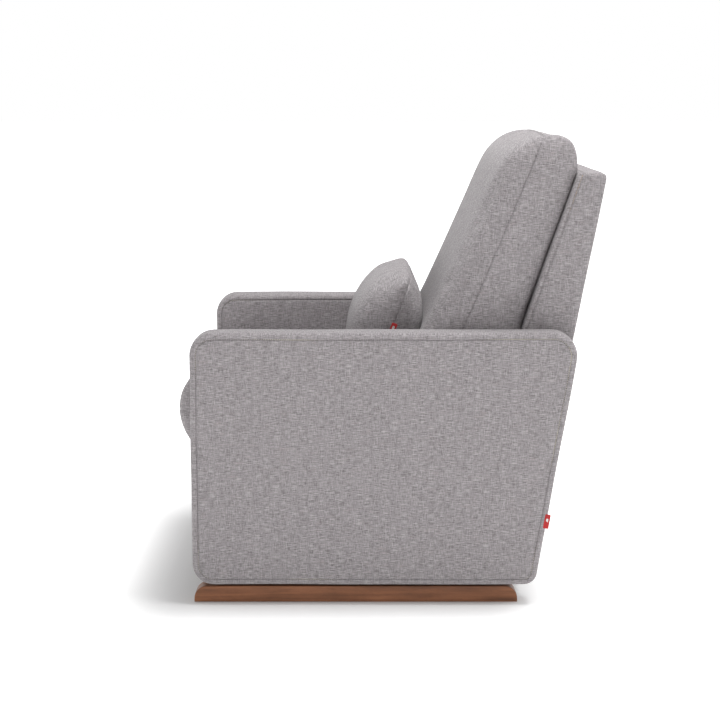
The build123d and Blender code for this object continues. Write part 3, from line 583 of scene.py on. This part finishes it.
# ---- stitches ----
def stitch_tree():
    """Node group that lays short stitches along an edge path."""
    group = bpy.data.node_groups.new("stitch_row", "GeometryNodeTree")
    face = group.interface
    face.new_socket("Geometry", in_out="INPUT", socket_type="NodeSocketGeometry")
    for name, value in (("Pitch", STITCH_PITCH), ("Length", STITCH_LENGTH), ("Thickness", STITCH_THICKNESS)):
        face.new_socket(name, in_out="INPUT", socket_type="NodeSocketFloat").default_value = value
    face.new_socket("Finish", in_out="INPUT", socket_type="NodeSocketMaterial")
    face.new_socket("Geometry", in_out="OUTPUT", socket_type="NodeSocketGeometry")
    nodes, links = group.nodes, group.links

    def add(kind, values=None, **settings):
        made = nodes.new(kind)
        for key, setting in settings.items():
            setattr(made, key, setting)
        for key, value in (values or {}).items():
            if hasattr(value, "is_output"):
                links.new(value, made.inputs[key])
            else:
                made.inputs[key].default_value = value
        return made

    start = add("NodeGroupInput")
    path = add("GeometryNodeMeshToCurve", {"Mesh": start.outputs["Geometry"]})
    evenly = add(
        "GeometryNodeResampleCurve",
        {"Curve": path.outputs[0], "Length": start.outputs["Pitch"]},
        mode="LENGTH",
    )
    tangent = add("GeometryNodeInputTangent")
    facing = add("FunctionNodeAlignEulerToVector", {"Vector": tangent.outputs[0]}, axis="X")
    bead = add("GeometryNodeMeshUVSphere", {"Segments": 6, "Rings": 4, "Radius": 0.5})
    shape = add(
        "ShaderNodeCombineXYZ",
        {0: start.outputs["Length"], 1: start.outputs["Thickness"], 2: start.outputs["Thickness"]},
    )
    placed = add(
        "GeometryNodeInstanceOnPoints",
        {
            "Points": evenly.outputs[0],
            "Instance": bead.outputs[0],
            "Rotation": facing.outputs[0],
            "Scale": shape.outputs[0],
        },
    )
    real = add("GeometryNodeRealizeInstances", {"Geometry": placed.outputs[0]})
    smooth = add("GeometryNodeSetShadeSmooth", {"Geometry": real.outputs[0]})
    coloured = add(
        "GeometryNodeSetMaterial", {"Geometry": smooth.outputs[0], "Material": start.outputs["Finish"]}
    )
    end = add("NodeGroupOutput")
    links.new(coloured.outputs[0], end.inputs[0])
    return group


STITCHES = stitch_tree()


def loop_edges(points):
    """Pairs of neighbours round a closed path."""
    return list(zip(points, points[1:] + points[:1]))


def stitched(name, edges, body):
    """Rows of stitches along paths given as pairs of neighbouring points."""
    form = bmesh.new()
    for first, second in edges:
        form.edges.new((form.verts.new(first), form.verts.new(second)))
    bmesh.ops.remove_doubles(form, verts=form.verts, dist=0.00005)
    data = bpy.data.meshes.new(name)
    form.to_mesh(data)
    form.free()
    rows = bpy.data.objects.new(name + "_path", data)
    scene.collection.objects.link(rows)
    modifier = rows.modifiers.new("stitches", "NODES")
    modifier.node_group = STITCHES
    keys = {item.name: item.identifier for item in STITCHES.interface.items_tree if item.in_out == "INPUT"}
    modifier[keys["Pitch"]] = STITCH_PITCH
    modifier[keys["Length"]] = STITCH_LENGTH
    modifier[keys["Thickness"]] = STITCH_THICKNESS
    modifier[keys["Finish"]] = THREAD
    made = applied(rows)
    bpy.data.objects.remove(rows)
    made.name = name
    piece = bpy.data.objects.new(name, made)
    scene.collection.objects.link(piece)
    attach(piece, body)


# ---- seams ----
def carve_seam(data, start, way, depth=SEAM_DEPTH, pucker=0.0008, mask=None, row=2.2):
    """Sinks a seam where a plane along X meets the surface, puckers the cloth beside it, and returns
    the edges that its row of stitches follows. start and way are (y, z) pairs."""
    origin = Vector((0.0, start[0], start[1]))
    along = Vector((0.0, way[0], way[1])).normalized()
    across = Vector((0.0, along.z, -along.y))
    form = bmesh.new()
    form.from_mesh(data)
    for step in (-3.6, -1.2, 0.0, 1.2, row, 3.6):
        bmesh.ops.bisect_plane(
            form,
            geom=form.verts[:] + form.edges[:] + form.faces[:],
            dist=0.0001,
            plane_co=origin + across * (step * SEAM_WIDTH),
            plane_no=across,
        )
    form.normal_update()
    shift = {}
    for vertex in form.verts:
        away = (vertex.co - origin).dot(across)
        if abs(away) > 0.06:
            continue
        amount = mask(vertex.co) if mask else 1.0
        sunk = depth * exp(-((away / SEAM_WIDTH) ** 2))
        ripple = noise.noise(
            Vector((vertex.co.x / 0.012, (vertex.co - origin).dot(along) / 0.012, away / 0.07))
        )
        ripple *= pucker * exp(-abs(away) / 0.022) * (1 - exp(-((away / SEAM_WIDTH) ** 2)))
        shift[vertex] = vertex.normal * ((ripple - sunk) * amount)
    path = []
    for edge in form.edges:
        ends = edge.verts
        if all(abs((end.co - origin).dot(across) - row * SEAM_WIDTH) < 0.0002 for end in ends):
            if not mask or all(mask(end.co) > 0.5 for end in ends):
                path.append(ends)
    for vertex, move in shift.items():
        vertex.co += move
    edges = [(first.co.copy(), second.co.copy()) for first, second in path]
    form.to_mesh(data)
    form.free()
    return edges


# ======== Arms, back and apron ========
arm_lo, arm_hi = cad_box_of("arm_cover_left")
arm_half = (arm_hi.x - arm_lo.x) / 2
arm_centre = (arm_hi.x + arm_lo.x) / 2


def rear_line(hi, radius, lean):
    """Y at each height of a rear edge that leans back and ends in a round top corner within a box."""
    lean = radians(lean)
    round_y, round_z = hi.y - radius, hi.z - radius
    reach = round_y * cos(lean) - round_z * sin(lean) + radius
    return lambda z: (reach + z * sin(lean)) / cos(lean)


def arm_corners():
    """Side outline of an arm from its box and the lean of its rear edge."""
    rear = rear_line(arm_hi, ARM_CORNERS[2], ARM_REAR_LEAN)
    return [
        (arm_lo.y, arm_lo.z),
        (rear(arm_lo.z), arm_lo.z),
        (rear(arm_hi.z), arm_hi.z),
        (arm_lo.y, arm_hi.z),
    ]


def cover(piece, node, body="chair_body"):
    """Attaches an upholstered cover to the body it moves with and hides the CAD part that it stands for."""
    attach(piece, body)
    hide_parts(node)


def seam_loop(corners, radii, inset, place, across, spacing=0.010, arc_steps=12):
    """Path of a seam that runs round a side a little inside its outline."""
    inner = inset_corners(corners, inset)
    inner_radii = [max(radius - inset, 0.002) for radius in radii]
    loop = rounded_loop(inner, inner_radii, arc_steps, edge_counts(corners, spacing))
    return [Vector(place(across, point[0], point[1])) for point in loop]


def make_arm(side, seed):
    """Slab arm with rounded corners and a sunk, stitched seam round both sides."""
    sign = 1 if side == "left" else -1
    corners = arm_corners()
    profile = boxed_profile(arm_half, ARM_EDGE, ARM_SEAM, 0.0016, 0.255)
    place = side_place(sign * arm_centre)
    data = ringed("arm_upholstery_" + side, corners, ARM_CORNERS, profile, place)
    wander(data, 0.16, 0.0012, seed)
    arm = new_piece("arm_upholstery_" + side, data)
    cover(arm, "arm_cover_" + side)
    sunk = arm_half - SEAM_DEPTH * 0.75
    edges = []
    for way in (1, -1):
        edges += loop_edges(seam_loop(corners, ARM_CORNERS, ARM_SEAM, place, way * sunk))
    stitched("arm_seam_stitches_" + side, edges, "chair_body")


back_lo, back_hi = cad_box_of("outer_back_cover")


def back_front(z):
    """Front face of the wedge-shaped back at a height."""
    return back_lo.y + max(0.0, z - BACK_KNEE) * tan(radians(BACK_FRONT_LEAN))


def back_corners():
    """Side outline of the wedge-shaped back."""
    rear = rear_line(back_hi, BACK_CORNERS[2], BACK_REAR_LEAN)
    return [
        (back_lo.y, back_lo.z),
        (rear(back_lo.z), back_lo.z),
        (rear(back_hi.z), back_hi.z),
        (back_front(back_hi.z), back_hi.z),
        (back_lo.y, BACK_KNEE),
    ]


def make_back():
    """Wedge-shaped outer back with a sunk seam along its narrow front strip."""
    corners = back_corners()
    half = (back_hi.x - back_lo.x) / 2
    profile = boxed_profile(half, BACK_EDGE, 0.012, 0.0, 0.020, boxing_crown=0.002, belly=26)
    data = ringed("back_upholstery", corners, BACK_CORNERS, profile, side_place(0.0))
    back = new_piece("back_upholstery", data)
    evened(back, OUTER_BACK_VOXEL)
    wander(back.data, 0.2, 0.0012, 5)
    strip = (back_front(back_hi.z) + BACK_STRIP / cos(radians(BACK_FRONT_LEAN)), back_hi.z)
    slope = (tan(radians(BACK_FRONT_LEAN)), 1.0)

    def above_knee(point):
        return float(point.z > BACK_KNEE)

    edges = carve_seam(back.data, strip, slope, 0.0034, 0.0003, above_knee)
    dress(back)
    cover(back, "outer_back_cover")
    stitched("back_seam_stitches", edges, "chair_body")


def make_apron():
    """Slightly padded cloth panel below the seat cushion."""
    lo, hi = cad_box_of("front_apron")
    half = (hi.y - lo.y) / 2
    corners = [(lo.x, lo.z), (hi.x, lo.z), (hi.x, hi.z), (lo.x, hi.z)]
    middle = (lo.y + hi.y) / 2
    padding = ((0.110, 0.0035), (0.070, 0.0030), (0.035, 0.0020), (0.015, 0.0008))
    front = [(depth, -half - rise) for depth, rise in padding]
    profile = front + [(0.0045, -half), (0.0015, -half + 0.0012), (0.0, -half + 0.0030)]
    profile += [(0.0, half - 0.0010), (0.0010, half), (0.060, half)]

    def place(across, x, z):
        return (x, middle + across, z)

    data = ringed("apron_upholstery", corners, (0.004,) * 4, profile, place)
    wander(data, 0.12, 0.0008, 9)
    apron = new_piece("apron_upholstery", data)
    cover(apron, "front_apron")


# ======== Cushions ========
def evened(piece, voxel):
    """Remeshes a closed shape to an even grid."""
    modifier = piece.modifiers.new("even", "REMESH")
    modifier.mode = "VOXEL"
    modifier.voxel_size = voxel
    piece.data = applied(piece)


def tension(piece, weight):
    """A vertex group whose weight is given point by point."""
    group = piece.vertex_groups.new(name="tight")
    for vertex in piece.data.vertices:
        group.add([vertex.index], weight(vertex.co), "REPLACE")
    return group.name


def filled(piece, pressure, cap, tight, pull, frames=20):
    """Inflates a cushion by cloth simulation and limits how far any point moves."""
    rest = [vertex.co.copy() for vertex in piece.data.vertices]
    modifier = piece.modifiers.new("filling", "CLOTH")
    cloth = modifier.settings
    cloth.quality = 4
    cloth.mass = 0.25
    cloth.tension_stiffness = 18
    cloth.compression_stiffness = 14
    cloth.shear_stiffness = 8
    cloth.bending_stiffness = 0.4
    cloth.air_damping = 2.0
    cloth.use_pressure = True
    cloth.uniform_pressure_force = pressure
    cloth.effector_weights.gravity = 0.0
    cloth.vertex_group_shrink = tension(piece, tight)
    cloth.shrink_min = -0.015
    cloth.shrink_max = pull
    modifier.collision_settings.use_collision = False
    modifier.point_cache.frame_start = 1
    modifier.point_cache.frame_end = frames
    for number in range(1, frames + 1):
        scene.frame_set(number)
    data = applied(piece)
    for vertex, start in zip(data.vertices, rest):
        move = vertex.co - start
        if move.length > cap:
            move *= cap / move.length
        vertex.co = start + move
    piece.data = data
    piece.vertex_groups.clear()
    scene.frame_set(1)


def fitted(data, low, high):
    """Stretches a mesh slightly so that it fills the box it belongs in."""
    points = [vertex.co for vertex in data.vertices]
    for axis in range(3):
        least = min(point[axis] for point in points)
        most = max(point[axis] for point in points)
        scale = (high[axis] - low[axis]) / (most - least)
        for vertex in data.vertices:
            vertex.co[axis] = low[axis] + (vertex.co[axis] - least) * scale


def smoothed(data, rounds, factor=0.5):
    """Softens a mesh without changing its points' order."""
    form = bmesh.new()
    form.from_mesh(data)
    for _ in range(rounds):
        bmesh.ops.smooth_vert(
            form, verts=form.verts, factor=factor, use_axis_x=True, use_axis_y=True, use_axis_z=True
        )
    form.to_mesh(data)
    form.free()


def subdivided(piece):
    """One level of subdivision, applied."""
    modifier = piece.modifiers.new("finer", "SUBSURF")
    modifier.levels = modifier.render_levels = 1
    piece.data = applied(piece)


def finish_cushion(piece, body, node):
    """Dresses a cushion's cover, attaches it to its body and hides the CAD part that it stands for."""
    dress(piece)
    cover(piece, node, body)


def add_core(piece, body, name, node):
    """The filling just inside a cushion's cover."""
    data = piece.data.copy()
    data.name = name
    normals = [vertex.normal.copy() for vertex in data.vertices]
    for vertex, normal in zip(data.vertices, normals):
        vertex.co -= normal * CORE_DEPTH
    middle = sum((vertex.co for vertex in data.vertices), Vector()) / len(data.vertices)
    for vertex in data.vertices:
        vertex.co = middle + (vertex.co - middle) * CORE_SCALE
    core = new_piece(name, data, FINISHES["foam"])
    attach(core, body)
    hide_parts(node)


def rounded_slab(name, corners, radii, half, edge, flats, steps=24):
    """A slab with soft rims, ready to be remeshed. flats are how far in its flat sides are stepped."""
    rim = [(depth, half) for depth in flats]
    for k in range(9):
        angle = pi / 2 * k / 8
        rim.append((edge - edge * sin(angle), half - edge + edge * cos(angle)))
    strip = [(0.0, (half - edge) * (1 - 2 * k / steps)) for k in range(1, steps)]
    return ringed(name, corners, radii, rim + strip + [(d, -x) for d, x in rim[::-1]], side_place(0.0))


def seat_shape():
    """Seat cushion: round nose, crowned top, sides that pull in a little."""
    lo, hi = cad_box_of("seat_cushion_cover")
    corners = [(lo.y, lo.z), (hi.y, lo.z), (hi.y, hi.z), (lo.y, hi.z)]
    half = (hi.x - lo.x) / 2 - SEAT_INSET
    inner = inset_corners(corners, SEAT_INSET)
    data = rounded_slab("seat_cushion", inner, SEAT_CORNERS, half, SEAT_EDGE, (0.075, 0.045))
    middle_z = (lo.z + hi.z) / 2 + 0.003
    for vertex in data.vertices:
        point = vertex.co
        nose = max(0.0, 1 - (point.y - lo.y) / 0.10)
        arch = 1 - ((point.z - middle_z) / 0.125) ** 2
        across = (point.x / half) ** 2
        point.y -= nose * (arch * 0.004 - across * 0.002)
        point.y += nose * (1 - arch) * 0.058
        top = max(0.0, (point.z - middle_z) / (hi.z - middle_z))
        point.z -= top * across * 0.010
    return data, lo, hi


def full_front(data, half, front, slices=30, reach=0.16):
    """Keeps the nose of the cushion full right to its ends."""
    inner = half - 0.024
    nearest = [1.0] * (slices + 2)
    for vertex in data.vertices:
        if abs(vertex.co.x) <= inner:
            number = int(abs(vertex.co.x) / inner * slices)
            nearest[number] = min(nearest[number], vertex.co.y)
    for number in range(1, slices + 2):
        if nearest[number] == 1.0:
            nearest[number] = nearest[number - 1]
    for vertex in data.vertices:
        place = min(1.0, abs(vertex.co.x) / inner) * slices
        part = place - int(place)
        line = nearest[int(place)] * (1 - part) + nearest[int(place) + 1] * part
        fade = max(0.0, min(1.0, 1 - (vertex.co.y - line) / reach))
        vertex.co.y -= (line - front) * fade * 0.92


def make_seat_cushion():
    """Fills the seat cushion, stitches it round its middle and puts foam inside."""
    data, lo, hi = seat_shape()
    piece = new_piece("seat_cushion", data)
    evened(piece, SEAT_VOXEL)
    half = (hi.x - lo.x) / 2

    def tight(point):
        return exp(-(((half - 0.010) - abs(point.x)) / 0.012) ** 2)

    filled(piece, 4.0, FILLING_LIMIT, tight, pull=0.01)
    smoothed(piece.data, 2)
    full_front(piece.data, half, lo.y)
    fitted(piece.data, lo, hi)
    subdivided(piece)
    middle = (0.0, (lo.z + hi.z) / 2)
    edges = carve_seam(piece.data, middle, (1.0, 0.0))
    finish_cushion(piece, "chair_body", "seat_cushion_cover")
    add_core(piece, "chair_body", "seat_foam", "seat_cushion_core")
    stitched("seat_seam_stitches", edges, "chair_body")


def back_cushion_corners(inset, press=0.0):
    """Side outline of the back cushion: leaned, with a top that falls to the rear. press is how far its
    rear would reach past the back that it leans on."""
    lo, hi = cad_box_of("back_cushion_cover")
    front, rear, fall = [tan(radians(a)) for a in (CUSHION_LEAN, BACK_FRONT_LEAN, CUSHION_TOP_FALL)]
    rear_low = back_front(lo.z) - CUSHION_GAP + press
    front_low = rear_low - press - CUSHION_THICKNESS
    round_z = hi.z - CUSHION_ROUND
    round_y = front_low + (round_z - lo.z) * front + CUSHION_ROUND / cos(radians(CUSHION_LEAN))
    top = round_z + CUSHION_ROUND / cos(radians(CUSHION_TOP_FALL))

    def under_top(start, slope):
        z = (top - (start - lo.z * slope - round_y) * fall) / (1 + slope * fall)
        return start + (z - lo.z) * slope, z

    corners = [(front_low, lo.z), (rear_low, lo.z), under_top(rear_low, rear), under_top(front_low, front)]
    return inset_corners(corners, inset), lo, hi


def make_back_cushion():
    """Shapes the back cushion, fills it, brings it to its lines and stitches its seam."""
    corners, lo, hi = back_cushion_corners(BACK_INSET, CUSHION_PRESS)
    half = (hi.x - lo.x) / 2 - BACK_INSET
    radii = (0.026, 0.020, CUSHION_REAR_ROUND, CUSHION_ROUND - BACK_INSET)
    flats = (CUSHION_REAR_EDGE * 1.8, CUSHION_REAR_EDGE * 1.35)
    data = rounded_slab("back_cushion", corners, radii, half, CUSHION_REAR_EDGE, flats)
    foot = Vector(corners[0])
    lean = radians(CUSHION_LEAN)
    forward = Vector((-cos(lean), sin(lean)))

    for vertex in data.vertices:
        point = vertex.co
        local = Vector((point.y, point.z)) - foot
        ahead = max(0.0, min(1.0, 1 + local.dot(forward) / (CUSHION_THICKNESS * cos(lean))))
        across = (point.x / half) ** 2
        high = max(0.0, min(1.0, (point.z - 0.62) / 0.25))
        rim = max(0.0, (abs(point.x) - half + CUSHION_FRONT_EDGE) / CUSHION_FRONT_EDGE)
        turned = CUSHION_FRONT_EDGE * (1 - (1 - min(1.0, rim) ** 2) ** 0.5)
        push = -ahead * across * (0.012 + 0.013 * high) - turned * ahead ** 5 * 0.8
        point.y += forward.x * push
        point.z += forward.y * push
    piece = new_piece("back_cushion", data)
    evened(piece, BACK_VOXEL)
    seam = back_seam_line()
    across_seam = Vector((seam[1].y, -seam[1].x))

    def tight(point):
        away = abs((Vector((point.y, point.z)) - seam[0]).dot(across_seam))
        return exp(-((away / 0.010) ** 2))

    filled(piece, 4.0, FILLING_LIMIT, tight, pull=0.006)
    smoothed(piece.data, 3)
    fitted(piece.data, lo, hi)
    true_front(piece.data, lo, hi)
    lean_on_back(piece.data)
    subdivided(piece)

    def above_foot(point):
        return min(1.0, max(0.0, (point.z - lo.z) / 0.03))

    edges = carve_seam(piece.data, seam[0], seam[1], 0.0034, 0.0012, above_foot)
    finish_cushion(piece, "chair_body", "back_cushion_cover")
    stitched("back_cushion_stitches", edges, "chair_body")
    return piece


def cushion_front(z, lo, hi):
    """Front of the back cushion at a height: a leaned line that turns into a round top."""
    slope = tan(radians(CUSHION_LEAN))
    low = back_front(lo.z) - CUSHION_GAP - CUSHION_THICKNESS
    round_z = hi.z - CUSHION_ROUND
    round_y = low + (round_z - lo.z) * slope + CUSHION_ROUND / cos(radians(CUSHION_LEAN))
    turn = round_z + CUSHION_ROUND * sin(radians(CUSHION_LEAN))
    if z < turn:
        return low + (z - lo.z) * slope
    return round_y - max(0.0, CUSHION_ROUND**2 - (z - round_z) ** 2) ** 0.5


def true_front(data, lo, hi, slices=30, reach=0.22):
    """Brings the middle of the cushion's front back to its line after it is filled."""
    tall = hi.z - lo.z
    ahead = [-1.0] * (slices + 2)
    for vertex in data.vertices:
        if abs(vertex.co.x) < 0.06:
            number = int(max(0.0, min(1.0, (vertex.co.z - lo.z) / tall)) * slices)
            ahead[number] = max(ahead[number], cushion_front(vertex.co.z, lo, hi) - vertex.co.y)
    for number in range(1, slices + 2):
        if ahead[number] == -1.0:
            ahead[number] = ahead[number - 1]
    for _ in range(3):
        below = ahead[:1] + ahead[:-1]
        above = ahead[1:] + ahead[-1:]
        ahead = [(low + 2 * here + high) / 4 for low, here, high in zip(below, ahead, above)]
    for vertex in data.vertices:
        point = vertex.co
        place = max(0.0, min(1.0, (point.z - lo.z) / tall)) * slices
        part = place - int(place)
        move = ahead[int(place)] * (1 - part) + ahead[int(place) + 1] * part
        behind = point.y + move - cushion_front(point.z, lo, hi)
        low = min(1.0, max(0.0, (point.z - lo.z - 0.01) / 0.03))
        point.y += move * low * max(0.0, min(1.0, 1 - behind / reach))


def lean_on_back(data, gap=0.0012, push=0.016, top=0.965, near=0.045):
    """Pushes the cushion's rear on to the back below a height, then flattens what would reach into it."""
    for vertex in data.vertices:
        point = vertex.co
        ahead = max(0.0, back_front(point.z) - point.y)
        low = max(0.0, min(1.0, (top - point.z) / 0.05))
        point.y += push * low * max(0.0, 1 - ahead / near)
    for vertex in data.vertices:
        vertex.co.y = min(vertex.co.y, back_front(vertex.co.z) - gap)


def back_seam_line():
    """Seam round the back cushion's sides and top: a point and a direction in the side plane."""
    corners = back_cushion_corners(0.0)[0]
    low = Vector(corners[0]).lerp(Vector(corners[1]), 0.405)
    high = Vector(corners[3]).lerp(Vector(corners[2]), 0.46)
    return low, (high - low).normalized()


def pillow_frame():
    """Foot of the back cushion's front, and the directions up it and forward from it."""
    corners = back_cushion_corners(0.0)[0]
    lean = radians(CUSHION_LEAN)
    foot = Vector((0.0, corners[0][0], corners[0][1]))
    forward = Vector((0.0, -cos(lean), sin(lean)))
    up = Vector((0.0, sin(lean), cos(lean)))
    return foot, up, forward


def make_pillow():
    """Plump lumbar pillow: two domed faces with pulled corners and one seam round its edge."""
    lo, hi = cad_box_of("pillow_cover")
    foot, up, forward = pillow_frame()
    half_width = (hi.x - lo.x) / 2
    middle = foot + up * PILLOW_MIDDLE[0] + forward * PILLOW_MIDDLE[1]
    form = bmesh.new()
    columns, rows = 60, 40
    for way in (1, -1):
        grid = []
        for i in range(columns + 1):
            line = []
            for j in range(rows + 1):
                u = sin(pi / 2 * (-1 + 2 * i / columns))
                v = sin(pi / 2 * (-1 + 2 * j / rows))
                plump = (max(0.0, 1 - abs(u) ** 6) ** 0.5) * (max(0.0, 1 - v * v) ** 0.80)
                wide = 1 - 0.030 * (1 - v * v) * abs(u) ** 3
                tall = 1 - 0.02 * (1 - u * u) * abs(v) ** 3 - 0.18 * abs(u) ** 3
                offset = way * plump * PILLOW_HALF_THICKNESS * (1 - 0.10 * u ** 4)
                point = middle + up * (v * PILLOW_HALF_HEIGHT * tall) + forward * offset
                line.append(form.verts.new(point + Vector((u * half_width * wide, 0, 0))))
            grid.append(line)
        for i in range(columns):
            for j in range(rows):
                form.faces.new((grid[i][j], grid[i + 1][j], grid[i + 1][j + 1], grid[i][j + 1]))
    data = to_mesh("lumbar_pillow", form)
    piece = new_piece("lumbar_pillow", data)
    evened(piece, PILLOW_VOXEL)

    def tight(point):
        depth = abs((point - middle).dot(forward))
        return exp(-((depth / 0.009) ** 2))

    filled(piece, 3.0, PILLOW_LIMIT, tight, pull=0.04)
    smoothed(piece.data, 1)
    tops = [vertex.co.z for vertex in piece.data.vertices]
    stretch = (hi.z - 0.002 - middle.z) / (max(tops) - middle.z)
    for vertex in piece.data.vertices:
        if vertex.co.z > middle.z:
            vertex.co.z = middle.z + (vertex.co.z - middle.z) * stretch
    floor = lo.z + 0.0005
    for vertex in piece.data.vertices:
        low = vertex.co.z - floor
        if low < 0.02:
            vertex.co.z = floor + 0.02 * exp(min(0.0, (low - 0.02) / 0.02))
    subdivided(piece)
    seam = middle - forward * 0.009

    def above_foot(point):
        return min(1.0, max(0.0, (point.z - floor) / 0.02))

    start, way = (seam.y, seam.z), (up.y, up.z)
    edges = carve_seam(piece.data, start, way, 0.0036, 0.0014, above_foot, row=1.9)
    finish_cushion(piece, "lumbar_pillow", "pillow_cover")
    add_core(piece, "lumbar_pillow", "pillow_filling", "pillow_fill")
    stitched("pillow_seam_stitches", edges, "lumbar_pillow")
    return piece


def press_in(cushion, pillow, gap=0.0012, depth=0.12):
    """Dents the back cushion where the pillow leans on it."""
    forward = pillow_frame()[2]
    pillow_tree = BVHTree.FromPolygons(
        [vertex.co for vertex in pillow.data.vertices], [face.vertices for face in pillow.data.polygons]
    )
    for vertex in cushion.data.vertices:
        start = vertex.co - forward * depth
        hit = pillow_tree.ray_cast(start, forward, depth + gap)[0]
        if hit is not None:
            vertex.co = hit - forward * gap


# ---- tabs ----
def tape(name, node, body, slot_name, finish, lean, length, width, thick, lift=0.0):
    """A piece of folded woven tape centred on its CAD tab, flat to the side and leaned like its seam."""
    lo, hi = cad_box_of(node)
    centre = (lo + hi) / 2
    lean = radians(lean)
    up = Vector((0.0, sin(lean), cos(lean)))
    back = Vector((0.0, cos(lean), -sin(lean)))
    a, b = width / 2, length / 2
    corners = [(-a, -b), (a, -b), (a, b), (-a, b)]
    half = thick / 2
    edge = half * 0.8
    profile = [(edge * 2, half)] + [
        (edge - edge * sin(pi / 2 * k / 4), half - edge + edge * cos(pi / 2 * k / 4)) for k in range(5)
    ]
    profile += [(d, -x) for d, x in profile[::-1]]

    def place(across, a, b):
        wave = 0.0005 * sin(b * 230.0)
        return centre + back * a + up * b + Vector((across + lift + wave, 0.0, 0.0))

    data = ringed(name, corners, (0.0012,) * 4, profile, place, spacing=0.003, arc_steps=4)
    piece = new_piece(name, data, finish)
    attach(piece, body)
    return piece


def make_tabs():
    """Folded red tape on the arm and the pillow, each with a plain pale panel."""
    for node, body, lean, length, width in (
        ("arm_tab", "chair_body", ARM_REAR_LEAN, 0.032, 0.012),
        ("pillow_tab", "lumbar_pillow", CUSHION_LEAN, 0.022, 0.013),
    ):
        red = FINISHES["red_tab"]
        strip = tape(node + "_tape", node, body, "red_tab", red, lean, length, width, 0.0013)
        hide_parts(node)
        size = (length * 0.42, width * 0.40, 0.0005)
        panel = tape(node + "_panel", node, body, "red_tab", PALE_TAPE, lean, *size, lift=0.0006)
        panel.parent = strip


# ======== Camera, light and floor ========
def make_camera():
    """Camera to the sitter's left, a little above the chair and looking slightly down."""
    camera = bpy.data.cameras.new("camera")
    camera.lens = LENS
    camera.sensor_width = SENSOR
    camera.clip_end = 200.0
    stand = bpy.data.objects.new("camera", camera)
    stand.location = CAMERA_PLACE
    stand.rotation_euler = (radians(90 - CAMERA_DOWN), 0.0, radians(90))
    scene.collection.objects.link(stand)
    scene.camera = stand


def soft_light(name, place, aim, size, power):
    """A square area light that faces a point."""
    lamp = bpy.data.lights.new(name, "AREA")
    lamp.shape = "SQUARE"
    lamp.size = size
    lamp.energy = power
    holder = bpy.data.objects.new(name, lamp)
    holder.location = place
    holder.rotation_euler = (Vector(aim) - Vector(place)).to_track_quat("-Z", "Y").to_euler()
    scene.collection.objects.link(holder)


def sky():
    """An even white surround that is dimmer overhead."""
    world = bpy.data.worlds.new("studio")
    world.use_nodes = True
    nodes, links = world.node_tree.nodes, world.node_tree.links
    place = nodes.new("ShaderNodeTexCoord")
    split = nodes.new("ShaderNodeSeparateXYZ")
    fall = nodes.new("ShaderNodeMapRange")
    fall.interpolation_type = "SMOOTHSTEP"
    for key, value in (("From Min", 0.15), ("From Max", 0.55), ("To Min", 1.0), ("To Max", 0.45)):
        fall.inputs[key].default_value = value
    links.new(place.outputs["Generated"], split.inputs[0])
    links.new(split.outputs["Z"], fall.inputs["Value"])
    links.new(fall.outputs["Result"], nodes["Background"].inputs["Color"])
    scene.world = world


def make_studio():
    """White surround, one soft light and a pale floor whose glow fades round the chair to paint in the
    chair's shadow.
    """
    sky()
    soft_light("key_from_above", KEY_LIGHT_PLACE, KEY_LIGHT_AIM, KEY_LIGHT_SIZE, KEY_LIGHT_POWER)
    form = bmesh.new()
    sides = ((-1, -1), (1, -1), (1, 1), (-1, 1))
    form.faces.new([form.verts.new((x * FLOOR_REACH, y * FLOOR_REACH, 0.0)) for x, y in sides])
    data = bpy.data.meshes.new("floor")
    form.to_mesh(data)
    form.free()
    paper = Finish("white_paper_floor", roughness=0.9)
    paper.shader.inputs["Specular IOR Level"].default_value = 0.0
    x, y = paper.split(paper.place())[:2]
    # Painted shadow: the floor glows less near the chair, standing in for the shade that the chair casts on
    # it.
    beside = (x - 0.38).positive() * 0.8 + (x * -1.0 - 0.38).positive() * 0.28
    ahead = ((y + 0.12).math("ABSOLUTE") - 0.32).positive()
    away = ((beside * beside + ahead * ahead) ** 0.5).smooth(0.0, 0.34)
    painted_shadow_glow = paper.mix(away, rgba(0.14, 0.14, 0.14), rgba(1.0, 1.0, 1.0))
    tone = paper.mix(away, rgba(0.74, 0.74, 0.74), rgba(0.73, 0.73, 0.73))
    paper.feed(Base_Color=tone, Emission_Color=painted_shadow_glow)
    paper.shader.inputs["Emission Strength"].default_value = 1.0
    data.materials.append(paper.material)
    floor = bpy.data.objects.new("floor", data)
    scene.collection.objects.link(floor)


make_camera()
make_studio()
dress_frame()
make_arm("left", 1)
make_arm("right", 2)
make_back()
make_apron()
make_seat_cushion()
back_cushion = make_back_cushion()
pillow = make_pillow()
press_in(back_cushion, pillow)
add_core(back_cushion, "chair_body", "back_foam", "back_cushion_core")
make_tabs()
